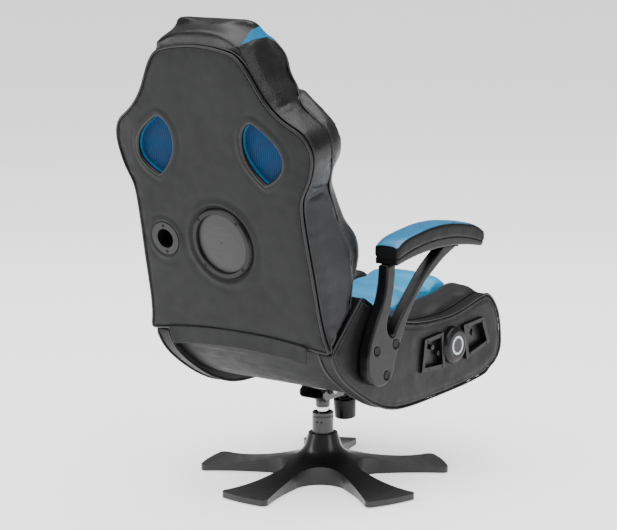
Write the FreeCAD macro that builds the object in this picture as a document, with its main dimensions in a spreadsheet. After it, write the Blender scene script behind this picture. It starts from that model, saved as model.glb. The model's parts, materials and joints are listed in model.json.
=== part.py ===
import FreeCAD, Part
# Gaming rocker chair on a five-legged pedestal, in millimetres.
# +Z is up, the chair faces -Y, and the origin is on the floor below the post.
import math
import os
from types import SimpleNamespace
from FreeCAD import Placement, Rotation, Vector

# Driving sizes: name, value in millimetres or degrees, meaning
DRIVING = [
    ("glide_height", 3, "thickness of the rubber glides under the legs"),
    ("glide_diameter", 34, "glide diameter"),
    ("leg_reach", 290, "post axis to the end of a leg"),
    ("leg_tip_half", 66, "half width of a leg at its tip"),
    ("leg_neck_half", 30, "half width of a leg at its neck"),
    ("leg_neck_reach", 140, "post axis to the neck of a leg"),
    ("arch_reach", 90, "post axis to the arch between two legs"),
    ("base_wall", 4, "wall of the moulded base"),
    ("hub_height", 107, "floor to the flat top of the hub"),
    ("hub_rim", 9, "flat top of the hub round the collar"),
    ("tip_height", 17, "floor to the top of a leg at its tip"),
    ("first_leg_turn", 87.9, "turn of the first leg from +X"),
    ("boss_wall", 10, "wall of the boss round the collar's spigot"),
    ("boss_floor", 14, "underside of the boss floor"),
    ("collar_step", 5, "how far the collar stands out over its spigot"),
    ("collar_top", 157, "floor to the rim of the post collar"),
    ("spigot_wall", 1.95, "wall of the collar spigot that sits in the boss"),
    ("rod_diameter", 28, "chromed post rod"),
    ("bush_wall", 4, "wall of the swivel bush"),
    ("running_gap", 0.05, "radial clearance of a shaft in its bearing"),
    ("seat_gap", 0.3, "clearance between soft or moving neighbours"),
    ("cone_bottom", 169, "floor to the bottom of the cone socket"),
    ("housing_bottom", 193, "floor to the underside of the tilt housing"),
    ("housing_half", 36, "half width of the tilt housing"),
    ("housing_front", 112, "post axis to the front of the tilt housing"),
    ("housing_rear", 42, "post axis to the rear of the tilt housing"),
    ("tongue_half", 20, "half width of the housing's front tongue"),
    ("cheek_front", 46, "post axis to the front of the housing's cheeks"),
    ("steel_sheet", 3, "thickness of the pressed steel parts"),
    ("axle_back", 12, "tilt axle behind the post axis"),
    ("axle_height", 216, "floor to the tilt axle"),
    ("axle_diameter", 12, "tilt axle diameter"),
    ("plate_top", 240, "floor to the top of the seat plate"),
    ("plate_thickness", 4, "thickness of the seat plate"),
    ("plate_rear", 62, "post axis to the rear flange of the seat plate"),
    ("stud_diameter", 10, "tension stud"),
    ("stud_forward", 82, "tension stud in front of the post axis, at the seat plate"),
    ("stud_lean", 3, "forward lean of the tension stud"),
    ("knob_diameter", 51, "tension knob"),
    ("knob_height", 45, "tension knob"),
    ("knob_drop", 111, "seat plate down to the bottom of the knob"),
    ("spring_radius", 12.5, "mean radius of the tilt spring"),
    ("spring_wire", 4, "wire diameter of the tilt spring"),
    ("spring_turns", 5, "turns of the tilt spring"),
    ("seat_width", 500, "over the side panels"),
    ("side_thickness", 35, "thickness of a side panel"),
    ("cover_thickness", 3, "underside cover"),
    ("board_thickness", 12, "plywood seat board"),
    ("frame_height", 80, "height of the plywood seat frame"),
    ("frame_wall", 18, "wall of the plywood seat frame"),
    ("deck_thickness", 10, "plywood deck under the foam"),
    ("seat_front", 366, "post axis to the front of the seat padding"),
    ("frame_front", 300, "post axis to the front of the seat frame"),
    ("frame_rear", 110, "post axis to the rear of the seat frame"),
    ("cushion_rear", 148, "post axis to the rear of the seat cushion"),
    ("panel_half", 112, "half width of the channelled centre panels"),
    ("channel_pitch", 72, "spacing of the sewn channels"),
    ("channel_depth", 9, "depth of the sewn channels"),
    ("bolt_diameter", 8, "seat plate bolts"),
    ("bolt_side", 58, "seat plate bolts beside the centre"),
    ("bolt_front", 92, "front seat plate bolts before the post axis"),
    ("bolt_rear", 34, "rear seat plate bolts behind the post axis"),
    ("board_rear", 95, "post axis to the rear of the seat board"),
    ("hinge_back", 182, "back hinge behind the post axis"),
    ("hinge_height", 483, "floor to the back hinge"),
    ("hinge_eye", 9, "radius of the hinge eyes"),
    ("pin_diameter", 6, "hinge pins"),
    ("hinge_plate", 4, "thickness of the hinge plates"),
    ("hinge_inset", 14.7, "hinge plates inside the side panels"),
    ("back_foot_y", 307, "foot of the back's rear face, behind the post axis"),
    ("back_foot_z", 380, "floor to the foot of the back's rear face"),
    ("recline", 11.87, "lean of the back's rear face"),
    ("tube_radius", 10, "steel tube in the back"),
    ("tube_depth", 62, "steel tube in front of the back's rear face"),
    ("gusset_bulge", 5, "bulge of the back's sides"),
    ("back_panel_thickness", 12, "rear panel of the back"),
    ("padding", 32, "front padding of the back"),
    ("woofer_bezel", 165, "diameter of the speaker bezel"),
    ("woofer_grille", 135, "diameter of the speaker grille"),
    ("woofer_rise", 231, "speaker centre above the foot of the back"),
    ("port_side", 165, "bass port beside the centre"),
    ("port_rise", 227, "bass port above the foot of the back"),
    ("port_flange", 76, "diameter of the port flange"),
    ("port_bore", 45, "bore of the bass port"),
    ("port_length", 70, "length of the bass port"),
    ("arm_plate", 28, "thickness of an arm frame"),
    ("arm_spacer", 7, "gap between side panel and arm frame"),
    ("arm_pad_out", 4, "arm pad's middle outside the arm frame's"),
    ("arm_base_width", 60, "width of the arm pad base"),
    ("arm_pad_width", 64, "width of the arm pad"),
    ("arm_crown", 26, "crown of the arm pad above its base"),
    ("hub_radius", 43, "round control hub"),
    ("hub_rise", 16, "how far the hub stands out"),
    ("ring_radius", 22, "outer radius of the light ring"),
    ("bezel_rise", 7, "how far the control frames stand out"),
    ("small_knob_diameter", 12, "volume and bass knobs"),
    ("small_knob_height", 10, "volume and bass knobs"),
]

document = FreeCAD.newDocument("GamingRocker")
sheet = document.addObject("Spreadsheet::Sheet", "Sizes")
for row, (name, value, meaning) in enumerate(DRIVING, 1):
    sheet.set(f"A{row}", meaning)
    sheet.set(f"B{row}", str(value))
    sheet.setAlias(f"B{row}", name)
document.recompute()
S = SimpleNamespace(**{name: float(sheet.get(name)) for name, value, meaning in DRIVING})

# Places worked out from the driving sizes
UPRIGHT = Rotation()
X_AXIS = Vector(1, 0, 0)
TO_X = Rotation(Vector(0, 1, 0), 90)
SEAT_HALF = S.seat_width / 2
INNER_HALF = SEAT_HALF - S.side_thickness - S.seat_gap
HINGE_INNER = INNER_HALF - S.hinge_inset
ARM_INNER = SEAT_HALF + S.arm_spacer
ARM_OUTER = ARM_INNER + S.arm_plate
ARM_CENTRE = (ARM_INNER + ARM_OUTER) / 2 + S.arm_pad_out
BUSH_RADIUS = S.rod_diameter / 2 + S.running_gap + S.bush_wall
SPIGOT_RADIUS = BUSH_RADIUS + S.spigot_wall
COLLAR_RADIUS = SPIGOT_RADIUS + S.collar_step
HUB_FLAT = COLLAR_RADIUS + S.hub_rim
BOSS_RADIUS = SPIGOT_RADIUS + S.boss_wall
PLATE_UNDER = S.plate_top - S.plate_thickness
COVER_TOP = S.plate_top + S.cover_thickness
BOARD_TOP = COVER_TOP + S.board_thickness
FRAME_TOP = BOARD_TOP + S.frame_height
DECK_TOP = FRAME_TOP + S.deck_thickness
BACK_PLACE = Placement(Vector(0, S.back_foot_y, S.back_foot_z), Rotation(X_AXIS, -S.recline))
STUD_PLACE = Placement(Vector(0, -S.stud_forward, PLATE_UNDER), Rotation(X_AXIS, -S.stud_lean))
SIDES = {"right": -1, "left": 1}

nodes = []


def bind(thing, **expressions):
    """Ties properties of a feature to cells of the sheet."""
    for prop, expression in expressions.items():
        thing.setExpression(prop.replace("__", "."), expression)
    return thing


def keep(thing):
    """Lists a sub-part for export."""
    nodes.append(thing)
    return thing


def feature(label, shape, place=None):
    """A sub-part or tool whose solid is worked out here."""
    thing = document.addObject("Part::Feature", label)
    thing.Label = label
    thing.Shape = shape
    if place:
        thing.Placement = place.multiply(shape.Placement)
    return thing


def cylinder(label, radius, height, base, rotation=UPRIGHT):
    """A cylinder whose radius and height are sheet expressions."""
    thing = document.addObject("Part::Cylinder", label)
    thing.Label = label
    thing.Placement = Placement(base, rotation)
    return bind(thing, Radius=radius, Height=height)


def box(label, low, high):
    """A box between two corners."""
    thing = document.addObject("Part::Box", label)
    thing.Label = label
    thing.Length, thing.Width, thing.Height = high.x - low.x, high.y - low.y, high.z - low.z
    thing.Placement = Placement(low, UPRIGHT)
    return thing


def cut(label, base, tool):
    """One feature less another."""
    thing = document.addObject("Part::Cut", label)
    thing.Label = label
    thing.Base, thing.Tool = base, tool
    return thing


def fuse(label, *shapes):
    """Several features joined into one."""
    thing = document.addObject("Part::MultiFuse", label)
    thing.Label = label
    thing.Shapes = list(shapes)
    return thing


def group(label, things):
    """Separate equal solids that share one sub-part."""
    thing = document.addObject("Part::Compound", label)
    thing.Label = label
    thing.Links = list(things)
    return thing


def block(low, high):
    """Plain solid between two corners."""
    return Part.makeBox(high[0] - low[0], high[1] - low[1], high[2] - low[2], Vector(*low))


def rod(radius, start, end):
    """Plain round solid between two points."""
    start, end = Vector(*start), Vector(*end)
    return Part.makeCylinder(radius, (end - start).Length, start, end - start)


def ring(outer, inner, start, end):
    """Plain tube between two points."""
    return rod(outer, start, end).cut(rod(inner, start, end))


class Outline:
    """A closed run of lines, three-point arcs and smooth curves in one plane."""

    def __init__(self, start):
        self.first = self.last = start
        self.curves = []

    def line(self, end):
        self.curves.append(Part.LineSegment(flat(self.last), flat(end)))
        self.last = end
        return self

    def arc(self, middle, end):
        self.curves.append(Part.ArcOfCircle(flat(self.last), flat(middle), flat(end)))
        self.last = end
        return self

    def curve(self, *points):
        spline = Part.BSplineCurve()
        spline.interpolate([flat(point) for point in (self.last, *points)])
        self.curves.append(spline)
        self.last = points[-1]
        return self

    def close(self):
        return self if self.last == self.first else self.line(self.first)

    def face(self, frame=Placement()):
        wire = Part.Wire([curve.toShape() for curve in self.curves])
        wire.Placement = frame
        return Part.Face(wire)


# Frames that stand a flat outline up: across the seat, seen from the side, and seen from behind
SIDE_VIEW = Placement(Vector(), Rotation(Vector(0, 1, 0), Vector(0, 0, 1), X_AXIS, "ZXY"))
REAR_VIEW = Placement(Vector(), Rotation(X_AXIS, Vector(0, 0, 1), Vector(0, -1, 0), "ZXY"))


def flat(point):
    """A point of an outline as a vector in its sketch plane."""
    return Vector(point[0], point[1], 0)


def side_solid(outline, low_x, high_x):
    """An outline of (y, z) points run along X."""
    return outline.face(SIDE_VIEW).extrude(Vector(high_x - low_x, 0, 0)).translated(Vector(low_x, 0, 0))


def rear_solid(outline, low_y, high_y):
    """An outline of (x, z) points run along Y."""
    face = outline.face(REAR_VIEW)
    return face.extrude(Vector(0, high_y - low_y, 0)).translated(Vector(0, low_y, 0))


def turned(outline):
    """An outline of (radius, z) points turned about Z."""
    return outline.face(REAR_VIEW).revolve(Vector(), Vector(0, 0, 1), 360)


def mirrored(shape):
    """The same shape on the other side of the chair."""
    return shape.mirror(Vector(), X_AXIS)


def origin_plane(body, role):
    """A body's own origin plane."""
    return next(plane for plane in body.Origin.OriginFeatures if plane.Role == role)


def sketched(label, role, outline, offset=0):
    """A body with one sketch on an origin plane, ready for a pad or a revolution."""
    body = document.addObject("PartDesign::Body", label)
    body.Label = label
    sketch = body.newObject("Sketcher::SketchObject", label + "_sketch")
    sketch.AttachmentSupport = (origin_plane(body, role), [""])
    sketch.MapMode = "FlatFace"
    sketch.AttachmentOffset = Placement(Vector(0, 0, offset), UPRIGHT)
    sketch.addGeometry(outline.curves, False)
    return body, sketch


def padded_body(label, role, outline, length, offset=0):
    """A body made by one pad, whose length is a sheet expression."""
    body, sketch = sketched(label, role, outline, offset)
    pad = body.newObject("PartDesign::Pad", label + "_pad")
    pad.Profile = sketch
    bind(pad, Length=length)
    return body


def revolved_body(label, outline):
    """A body turned about Z from an outline of (radius, z) points."""
    body, sketch = sketched(label, "XZ_Plane", outline)
    turn = body.newObject("PartDesign::Revolution", label + "_turn")
    turn.Profile = sketch
    turn.ReferenceAxis = (sketch, ["V_Axis"])
    turn.Angle = 360
    return body


def polar(radius, degrees):
    """A point of the plan at a radius and a turn from +X."""
    return radius * math.cos(math.radians(degrees)), radius * math.sin(math.radians(degrees))


def offset_points(points, distance):
    """Points moved to the right of their run by a distance."""
    moved = []
    for index, (a, b) in enumerate(points):
        before = points[max(index - 1, 0)]
        after = points[min(index + 1, len(points) - 1)]
        along = Vector(after[0] - before[0], after[1] - before[1], 0).normalize()
        moved.append((a + along.y * distance, b - along.x * distance))
    return moved


# Pedestal base
LEGS = 5
DISC_RADIUS = "Sizes.rod_diameter / 2 + Sizes.running_gap + Sizes.bush_wall + Sizes.spigot_wall - 1.5"
# The base's top line as (distance outside the hub's flat top, fall below it)
TRUMPET = [(4, -12), (8, -25), (15, -40), (29, -52), (51, -60), (86, -68), (126, -76), (176, -84)]


def trumpet_curve():
    """The base's top line from the hub's edge to past the tips, as (radius, z)."""
    run = [(HUB_FLAT, S.hub_height)]
    run += [(HUB_FLAT + out, S.hub_height + fall) for out, fall in TRUMPET]
    return run + [(S.leg_reach + 6, S.tip_height)]


def star_outline(inset):
    """Five paddle legs with arches between them, seen from above."""
    neck_turn = math.degrees(math.atan2(S.leg_neck_half - inset, S.leg_neck_reach))
    neck = math.hypot(S.leg_neck_half - inset, S.leg_neck_reach)
    tip = S.leg_reach - inset
    half = S.leg_tip_half - inset
    corner = 14
    outline = None
    for leg in range(LEGS):
        turn = S.first_leg_turn + leg * 360 / LEGS

        def place(along, across):
            radius = math.hypot(along, across)
            return polar(radius, turn + math.degrees(math.atan2(across, along)))

        start = polar(neck, turn - neck_turn)
        if outline is None:
            outline = Outline(start)
        outline.arc(place((S.leg_neck_reach + tip) / 2, -0.5 * half - 12), place(tip - corner - 4, -half + 2))
        outline.arc(place(tip - 6, -half + 3), place(tip, -half + corner))
        outline.arc(place(tip + 4, 0), place(tip, half - corner))
        outline.arc(place(tip - 6, half - 3), place(tip - corner - 4, half - 2))
        outline.arc(place((S.leg_neck_reach + tip) / 2, 0.5 * half + 12), polar(neck, turn + neck_turn))
        outline.arc(polar(S.arch_reach - inset, turn + 36), polar(neck, turn + 72 - neck_turn))
    return outline


def base_fill(curve, bottom, inset):
    """The solid under a trumpet line and inside the star."""
    profile = Outline((0, bottom)).line((0, curve[0][1])).line(curve[0]).curve(*curve[1:])
    profile.line((curve[-1][0], bottom)).close()
    star = star_outline(inset).face().extrude(Vector(0, 0, S.hub_height + 20))
    return turned(profile).common(star)


def make_base():
    outer = base_fill(trumpet_curve(), 0, 0)
    outer = outer.cut(block((-400, -400, -1), (400, 400, S.glide_height)))
    under = offset_points(trumpet_curve(), S.base_wall)
    inner_top = (HUB_FLAT - S.base_wall, S.hub_height - S.base_wall)
    inner = base_fill([inner_top] + under[1:], -1, S.base_wall)
    boss = rod(BOSS_RADIUS, (0, 0, S.boss_floor), (0, 0, S.hub_height - 1))
    ribs = []
    rib_half = 1.5
    for leg in range(LEGS):
        rib = block((BOSS_RADIUS - 3, -rib_half, S.glide_height + 2), (S.leg_reach, rib_half, S.hub_height))
        rib.rotate(Vector(), Vector(0, 0, 1), S.first_leg_turn + leg * 360 / LEGS)
        ribs.append(rib.common(inner))
    shell = outer.cut(inner).multiFuse([boss.common(outer)] + ribs)
    shell = shell.cut(rod(SPIGOT_RADIUS, (0, 0, S.boss_floor + 6), (0, 0, S.hub_height + 5)))
    places = [polar(S.leg_reach - 34, S.first_leg_turn + leg * 360 / LEGS) for leg in range(LEGS)]
    for x, y in places:
        shell = shell.fuse(rod(7, (x, y, S.glide_height), (x, y, S.tip_height - 1)))
        shell = shell.cut(rod(4, (x, y, 0), (x, y, S.glide_height + 5)))
    keep(feature("star_base", shell.removeSplitter()))

    glides = []
    for leg, (x, y) in enumerate(places):
        pad = cylinder(f"glide_{leg}", "Sizes.glide_diameter / 2", "Sizes.glide_height", Vector(x, y, 0))
        stem = cylinder(f"glide_stem_{leg}", "4", "Sizes.glide_height + 5", Vector(x, y, 0))
        glides.append(fuse(f"glide_with_stem_{leg}", pad, stem))
    keep(group("floor_glides", glides))

    thrust_bottom = S.boss_floor + 6
    keep(cylinder("thrust_disc", DISC_RADIUS, "6", Vector(0, 0, thrust_bottom)))
    return thrust_bottom + 6


def make_collar():
    outer, spigot, bore = COLLAR_RADIUS, SPIGOT_RADIUS, BUSH_RADIUS
    low, high = S.boss_floor + 20, S.collar_top
    profile = Outline((bore, low)).line((spigot, low)).line((spigot, S.hub_height)).line((outer, S.hub_height))
    profile.line((outer, high - 11)).line((outer - 1, high - 10)).line((outer - 1, high - 8.5))
    profile.line((outer, high - 7.5)).line((outer, high - 1.5)).line((outer - 1.5, high))
    profile.line((bore + 1, high)).line((bore, high - 1)).close()
    collar = revolved_body("collar_blank", profile)
    screw_height = high - 22
    tools, screws = [], []
    for index, turn in enumerate((95, 120)):
        x, y = polar(bore - 2, turn)
        direction = Rotation(Vector(0, 0, 1), Vector(x, y, 0))
        reach = "Sizes.spigot_wall + Sizes.collar_step + Sizes.running_gap"
        start = Vector(x, y, screw_height)
        tools.append(cylinder(f"collar_hole_{index}", "2.5", reach + " + 6", start, direction))
        x, y = polar(bore + 0.2, turn)
        start = Vector(x, y, screw_height)
        screws.append(cylinder(f"collar_screw_{index}", "2.5", reach + " - 1", start, direction))
    keep(cut("post_collar", collar, group("collar_holes", tools)))
    keep(group("collar_screws", screws))

    bush = Outline((S.rod_diameter / 2 + S.running_gap, low)).line((bore, low)).line((bore, high - 6))
    bush.line((S.rod_diameter / 2 + S.running_gap, high - 6)).close()
    keep(revolved_body("swivel_bush", bush))
    return low


def make_post(rod_bottom, bush_bottom):
    radius = S.rod_diameter / 2
    top = S.housing_bottom - 8
    groove = bush_bottom - 5
    shaft = Outline((0, rod_bottom)).line((radius - 1, rod_bottom)).line((radius, rod_bottom + 1))
    shaft.line((radius, groove)).line((radius - 2, groove)).line((radius - 2, groove + 3))
    shaft.line((radius, groove + 3)).line((radius, top)).line((0, top)).close()
    keep(revolved_body("post_rod", shaft))
    clip = cylinder("clip_blank", DISC_RADIUS, "2.8", Vector(0, 0, groove + 0.1))
    hole = cylinder("clip_hole", "Sizes.rod_diameter / 2 - 1.9", "6", Vector(0, 0, groove - 1))
    keep(cut("rod_retainer", clip, hole))


def make_housing():
    """The lower half of the tilt mechanism: a pressed channel on a cone socket."""
    radius = S.rod_diameter / 2
    bottom = S.housing_bottom
    cone = Outline((radius, S.cone_bottom)).line((radius + 2, S.cone_bottom))
    cone.line((radius + 2.6, S.cone_bottom + 8))
    cone.arc((radius + 4.5, bottom - 6), (radius + 10, bottom + 0.5)).line((radius, bottom + 0.5)).close()
    low = bottom + S.steel_sheet
    stop = PLATE_UNDER - S.seat_gap
    cheek = Outline((-S.cheek_front, bottom + 12)).line((-S.cheek_front + 14, bottom))
    cheek.line((S.housing_rear - 8, bottom)).line((S.housing_rear, bottom + 8))
    cheek.line((S.housing_rear, bottom + 19))
    cheek.line((S.axle_back + 8, S.axle_height + 11)).line((-30, S.axle_height + 11))
    cheek.line((-S.cheek_front, S.axle_height + 2)).close()
    pan = side_solid(cheek, -S.housing_half, S.housing_half)
    inside = S.housing_half - S.steel_sheet
    pan = pan.cut(block((-inside, -S.cheek_front + S.steel_sheet, low), (inside, S.housing_rear + 1, 300)))
    front = Outline((-S.housing_front, bottom + 10)).line((-S.housing_front + 16, bottom))
    front.line((-S.cheek_front + 14, bottom)).line((-S.cheek_front + 14, low))
    front.line((-S.cheek_front, S.axle_height))
    front.line((-60, stop)).line((-S.housing_front, stop)).close()
    inside = S.tongue_half - S.steel_sheet
    tongue = side_solid(front, -S.tongue_half, S.tongue_half)
    tongue = tongue.cut(block((-inside, -S.housing_front + S.steel_sheet, low), (inside, -S.cheek_front, 300)))
    pan = pan.fuse(tongue)
    slot = rod(S.stud_diameter / 2 + 2, (0, -S.stud_forward - 3, bottom - 5), (0, -S.stud_forward - 3, low + 5))
    for forward in (6, 12):
        slot = slot.fuse(slot.translated(Vector(0, -forward, 0)))
    web = block((-S.stud_diameter / 2 - 2, -S.stud_forward - 21, bottom - 5),
                (S.stud_diameter / 2 + 2, -S.stud_forward - 3, low + 5))
    housing = turned(cone).fuse(pan).cut(slot.fuse(web))
    axle_line = (S.axle_back, S.axle_height)
    hole = rod(S.axle_diameter / 2, (-70, *axle_line), (70, *axle_line))
    keep(feature("tilt_housing", housing.cut(hole).removeSplitter()))
    reach = S.housing_half + 2 * S.plate_thickness
    length = "2 * Sizes.housing_half + 4 * Sizes.plate_thickness"
    shaft = cylinder("axle_shaft", "Sizes.axle_diameter / 2", length, Vector(-reach, *axle_line), TO_X)
    caps = [cylinder(f"axle_cap_{side}", "Sizes.axle_diameter / 2 + 3", "3",
                     Vector(x, *axle_line), TO_X)
            for side, x in (("right", -reach - 3), ("left", reach))]
    keep(fuse("tilt_axle", shaft, *caps))


def plate_bolt_places():
    """The four bolts through the seat plate, as (x, y)."""
    rows = (-S.bolt_front, S.bolt_rear)
    return [(side * S.bolt_side, y) for side in (-1, 1) for y in rows]


def make_seat_plate():
    top, under = S.plate_top, PLATE_UNDER
    wing = S.housing_half + 0.5
    outer = wing + S.plate_thickness
    front, rear = -S.housing_front - 8, S.plate_rear
    plate = block((-outer, front, under), (outer, rear, top))
    flange = block((-outer, rear - S.plate_thickness, under - 7), (outer, rear, top))
    arms = []
    for x, y in plate_bolt_places():
        low_x, high_x = min(0, x) - 15 * (x < 0), max(0, x) + 15 * (x > 0)
        arms.append(block((low_x, y - 18, under), (high_x, y + 18, top)))
    ear = Outline((S.axle_back - 16, under + 1)).line((S.axle_back - 12, S.axle_height))
    ear.arc((S.axle_back, S.axle_height - 12), (S.axle_back + 12, S.axle_height))
    ear.line((S.axle_back + 16, under + 1)).close()
    ears = [side_solid(ear, low, low + S.plate_thickness) for low in (-outer, wing)]
    hole = rod(S.axle_diameter / 2 + S.running_gap, (-70, S.axle_back, S.axle_height),
               (70, S.axle_back, S.axle_height))
    solid = plate.multiFuse([flange] + arms + ears).cut(hole)
    for x, y in plate_bolt_places():
        solid = solid.cut(rod(S.bolt_diameter / 2 + S.seat_gap, (x, y, under - 20), (x, y, top + 5)))
    stud = rod(S.stud_diameter / 2, (0, 0, 1), (0, 0, -S.knob_drop + 3))
    stud.Placement = STUD_PLACE
    keep(feature("seat_plate", solid.fuse(stud).removeSplitter()))

    bolts = []
    for index, (x, y) in enumerate(plate_bolt_places()):
        head = cylinder(f"bolt_head_{index}", "Sizes.bolt_diameter / 2 + 3.5", "5", Vector(x, y, under - 5))
        length = "Sizes.plate_thickness + Sizes.cover_thickness + Sizes.board_thickness + 12"
        shank = cylinder(f"bolt_shank_{index}", "Sizes.bolt_diameter / 2", length, Vector(x, y, under))
        nut = cylinder(f"bolt_nut_{index}", "Sizes.bolt_diameter / 2 + 3", "6", Vector(x, y, BOARD_TOP))
        bolts.append(fuse(f"seat_bolt_{index}", head, shank, nut))
    keep(group("seat_bolts", bolts))


def helix_path(radius, low, pitch, turns):
    """A coil's line in quarter turns, each an arc through three points of the helix."""
    def point(quarters):
        x, y = polar(radius, quarters * 90)
        return Vector(x, y, low + pitch * quarters / 4)

    arcs = []
    for step in range(int(turns * 4)):
        arcs.append(Part.ArcOfCircle(point(step), point(step + 0.5), point(step + 1)).toShape())
    return Part.Wire(arcs), point(0)


def make_tension():
    """The tilt spring and the ribbed knob that sets it, on the leaning stud."""
    low, high = -S.knob_drop, -S.knob_drop + S.knob_height
    floor = low + 8
    radius = S.knob_diameter / 2
    bore = S.stud_diameter / 2 + S.running_gap
    cup = Outline((bore, low)).line((radius - 4, low)).arc((radius - 1.6, low + 1), (radius - 0.6, low + 4))
    cup.line((radius + 1, high)).line((radius - 4, high)).line((radius - 5.5, floor))
    cup.line((bore, floor)).close()
    knob = revolved_body("knob_blank", cup)
    count = 24
    flutes = []
    for index in range(count):
        x, y = polar(radius + 2.1, index * 360 / count)
        flutes.append(cylinder(f"knob_flute_{index}", "2.2", "Sizes.knob_height", Vector(x, y, low + 4)))
    knob = cut("tension_knob", knob, group("knob_flutes", flutes))
    knob.Placement = STUD_PLACE
    keep(knob)

    wire_radius = S.spring_wire / 2
    start = floor + wire_radius + S.seat_gap
    end = S.housing_bottom - PLATE_UNDER - wire_radius - 1.2
    pitch = (end - start) / S.spring_turns
    path, first = helix_path(S.spring_radius, start, pitch, S.spring_turns)
    circle = Part.Circle(first, Vector(0, 1, pitch / (2 * math.pi * S.spring_radius)), wire_radius)
    section = Part.Wire(circle.toShape())
    coil = path.makePipeShell([section], True, False)
    print("spring gap between turns", round(pitch - S.spring_wire, 2))
    keep(feature("tilt_spring", coil, STUD_PLACE))


# Seat sides, rear and underside, as (y, z) points
SIDE_BOTTOM = [(268, 330), (220, 288), (150, 244), (67, 213), (-8, 207), (-119, 210), (-247, 217), (-316, 226)]
SIDE_FRONT = [(-354, 250), (-369, 268), (-372, 318), (-365, 355), (-346, 390), (-317, 415)]
SIDE_TOP = [(-295, 413), (-245, 403), (-179, 391), (-89, 390), (9, 402), (121, 448)]
COVER_RISE = [(150, 259), (212, 297), (256, 337), (286, 376)]


def side_panel_outline():
    """A side panel: swept bottom, rounded front, dipped top and the slanted seam against the back."""
    foot = (S.hinge_back + 113, S.hinge_height - 108)
    outline = Outline(foot).curve(*SIDE_BOTTOM).line((-324, 237)).curve(*SIDE_FRONT)
    return outline.curve(*SIDE_TOP, (S.hinge_back - 2, S.hinge_height + 3)).close()


def make_seat_box():
    under = S.plate_top
    front = -S.seat_front + 4
    rise = [(S.board_rear, under)] + COVER_RISE
    inner = offset_points(rise, -S.cover_thickness)
    cover = Outline((front, under)).line(rise[0]).curve(*rise[1:]).line(inner[-1])
    cover.curve(*reversed([(S.board_rear, COVER_TOP)] + inner[1:-1])).line((front, COVER_TOP)).close()
    cover = side_solid(cover, -INNER_HALF, INNER_HALF)
    board = block((-INNER_HALF, -S.frame_front, COVER_TOP), (INNER_HALF, S.board_rear, BOARD_TOP))
    for x, y in plate_bolt_places():
        hole = rod(S.bolt_diameter / 2 + S.seat_gap, (x, y, under - 20), (x, y, BOARD_TOP + 5))
        cover, board = cover.cut(hole), board.cut(hole)
    keep(feature("underside_cover", cover))
    keep(feature("seat_board", board))

    half, wall = INNER_HALF, S.frame_wall
    outer = box("frame_outer", Vector(-half, -S.frame_front, BOARD_TOP), Vector(half, S.frame_rear, FRAME_TOP))
    hollow = box("frame_hollow", Vector(-half + wall, -S.frame_front + wall, BOARD_TOP - 5),
                 Vector(half - wall, S.frame_rear - wall, FRAME_TOP + 5))
    bind(outer, Height="Sizes.frame_height")
    deck = box("seat_deck", Vector(-half, -S.frame_front, FRAME_TOP), Vector(half, S.cushion_rear, DECK_TOP))
    bind(deck, Height="Sizes.deck_thickness")
    keep(group("seat_frame", [cut("seat_walls", outer, hollow), deck]))

    low, front = COVER_TOP + S.seat_gap, -S.seat_front
    rear = -S.frame_front - S.seat_gap
    pad = Outline((rear, low)).line((front + 22, low)).arc((front + 7, low + 8), (front, low + 26))
    pad.arc((front - 4, (low + DECK_TOP) / 2), (front, DECK_TOP)).line((rear, DECK_TOP)).close()
    keep(feature("seat_front_pad", side_solid(pad, -half, half)))

    corner = Vector(-half + wall + 1, -250, BOARD_TOP)
    amplifier = box("amplifier_box", corner, corner + Vector(80, 160, 62))
    keep(amplifier)


def crown_section(width_low, width_high, base, edge, top, place):
    """A cushion's cross-section: flat base, drawn-in sides and a crowned top."""
    draw = min(7, (width_high - width_low) / 8)
    belly = 1.5
    middle = (width_low + width_high) / 2
    outline = Outline((width_low + 2, base)).line((width_high - 2, base))
    outline.arc((width_high - belly + 1, (base + edge) / 2), (width_high - draw, edge))
    outline.arc((middle, top), (width_low + draw, edge))
    outline.arc((width_low + belly - 1, (base + edge) / 2), (width_low + 2, base))
    return Part.Wire([place_curve(curve, place) for curve in outline.curves])


def place_curve(curve, place):
    """An outline's edge moved to its station."""
    edge = curve.toShape()
    edge.Placement = place
    return edge


def smoothed(points, position):
    """A value read from a smooth curve through (position, value) points."""
    spline = Part.BSplineCurve()
    spline.interpolate([flat(point) for point in sorted(points)])
    low, high = spline.FirstParameter, spline.LastParameter
    for step in range(40):
        middle = (low + high) / 2
        if spline.value(middle).x < position:
            low = middle
        else:
            high = middle
    return spline.value(low).y


# Seat surface: height of the cushions along Y
SEAT_SURFACE = [(150, 404), (60, 402), (-40, 404), (-140, 411), (-240, 424), (-320, 432)]
BOLSTER_EDGE = [(150, 446), (120, 436), (10, 396), (-90, 385), (-180, 391), (-250, 404), (-330, 411)]
FRONT_ROLL = [(0, 0), (0.45, 6), (0.78, 2), (1, -26)]


def seat_place(y):
    """Stands a section of (x, z) points across the seat."""
    return Placement(Vector(0, y, 0), REAR_VIEW.Rotation)


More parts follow.
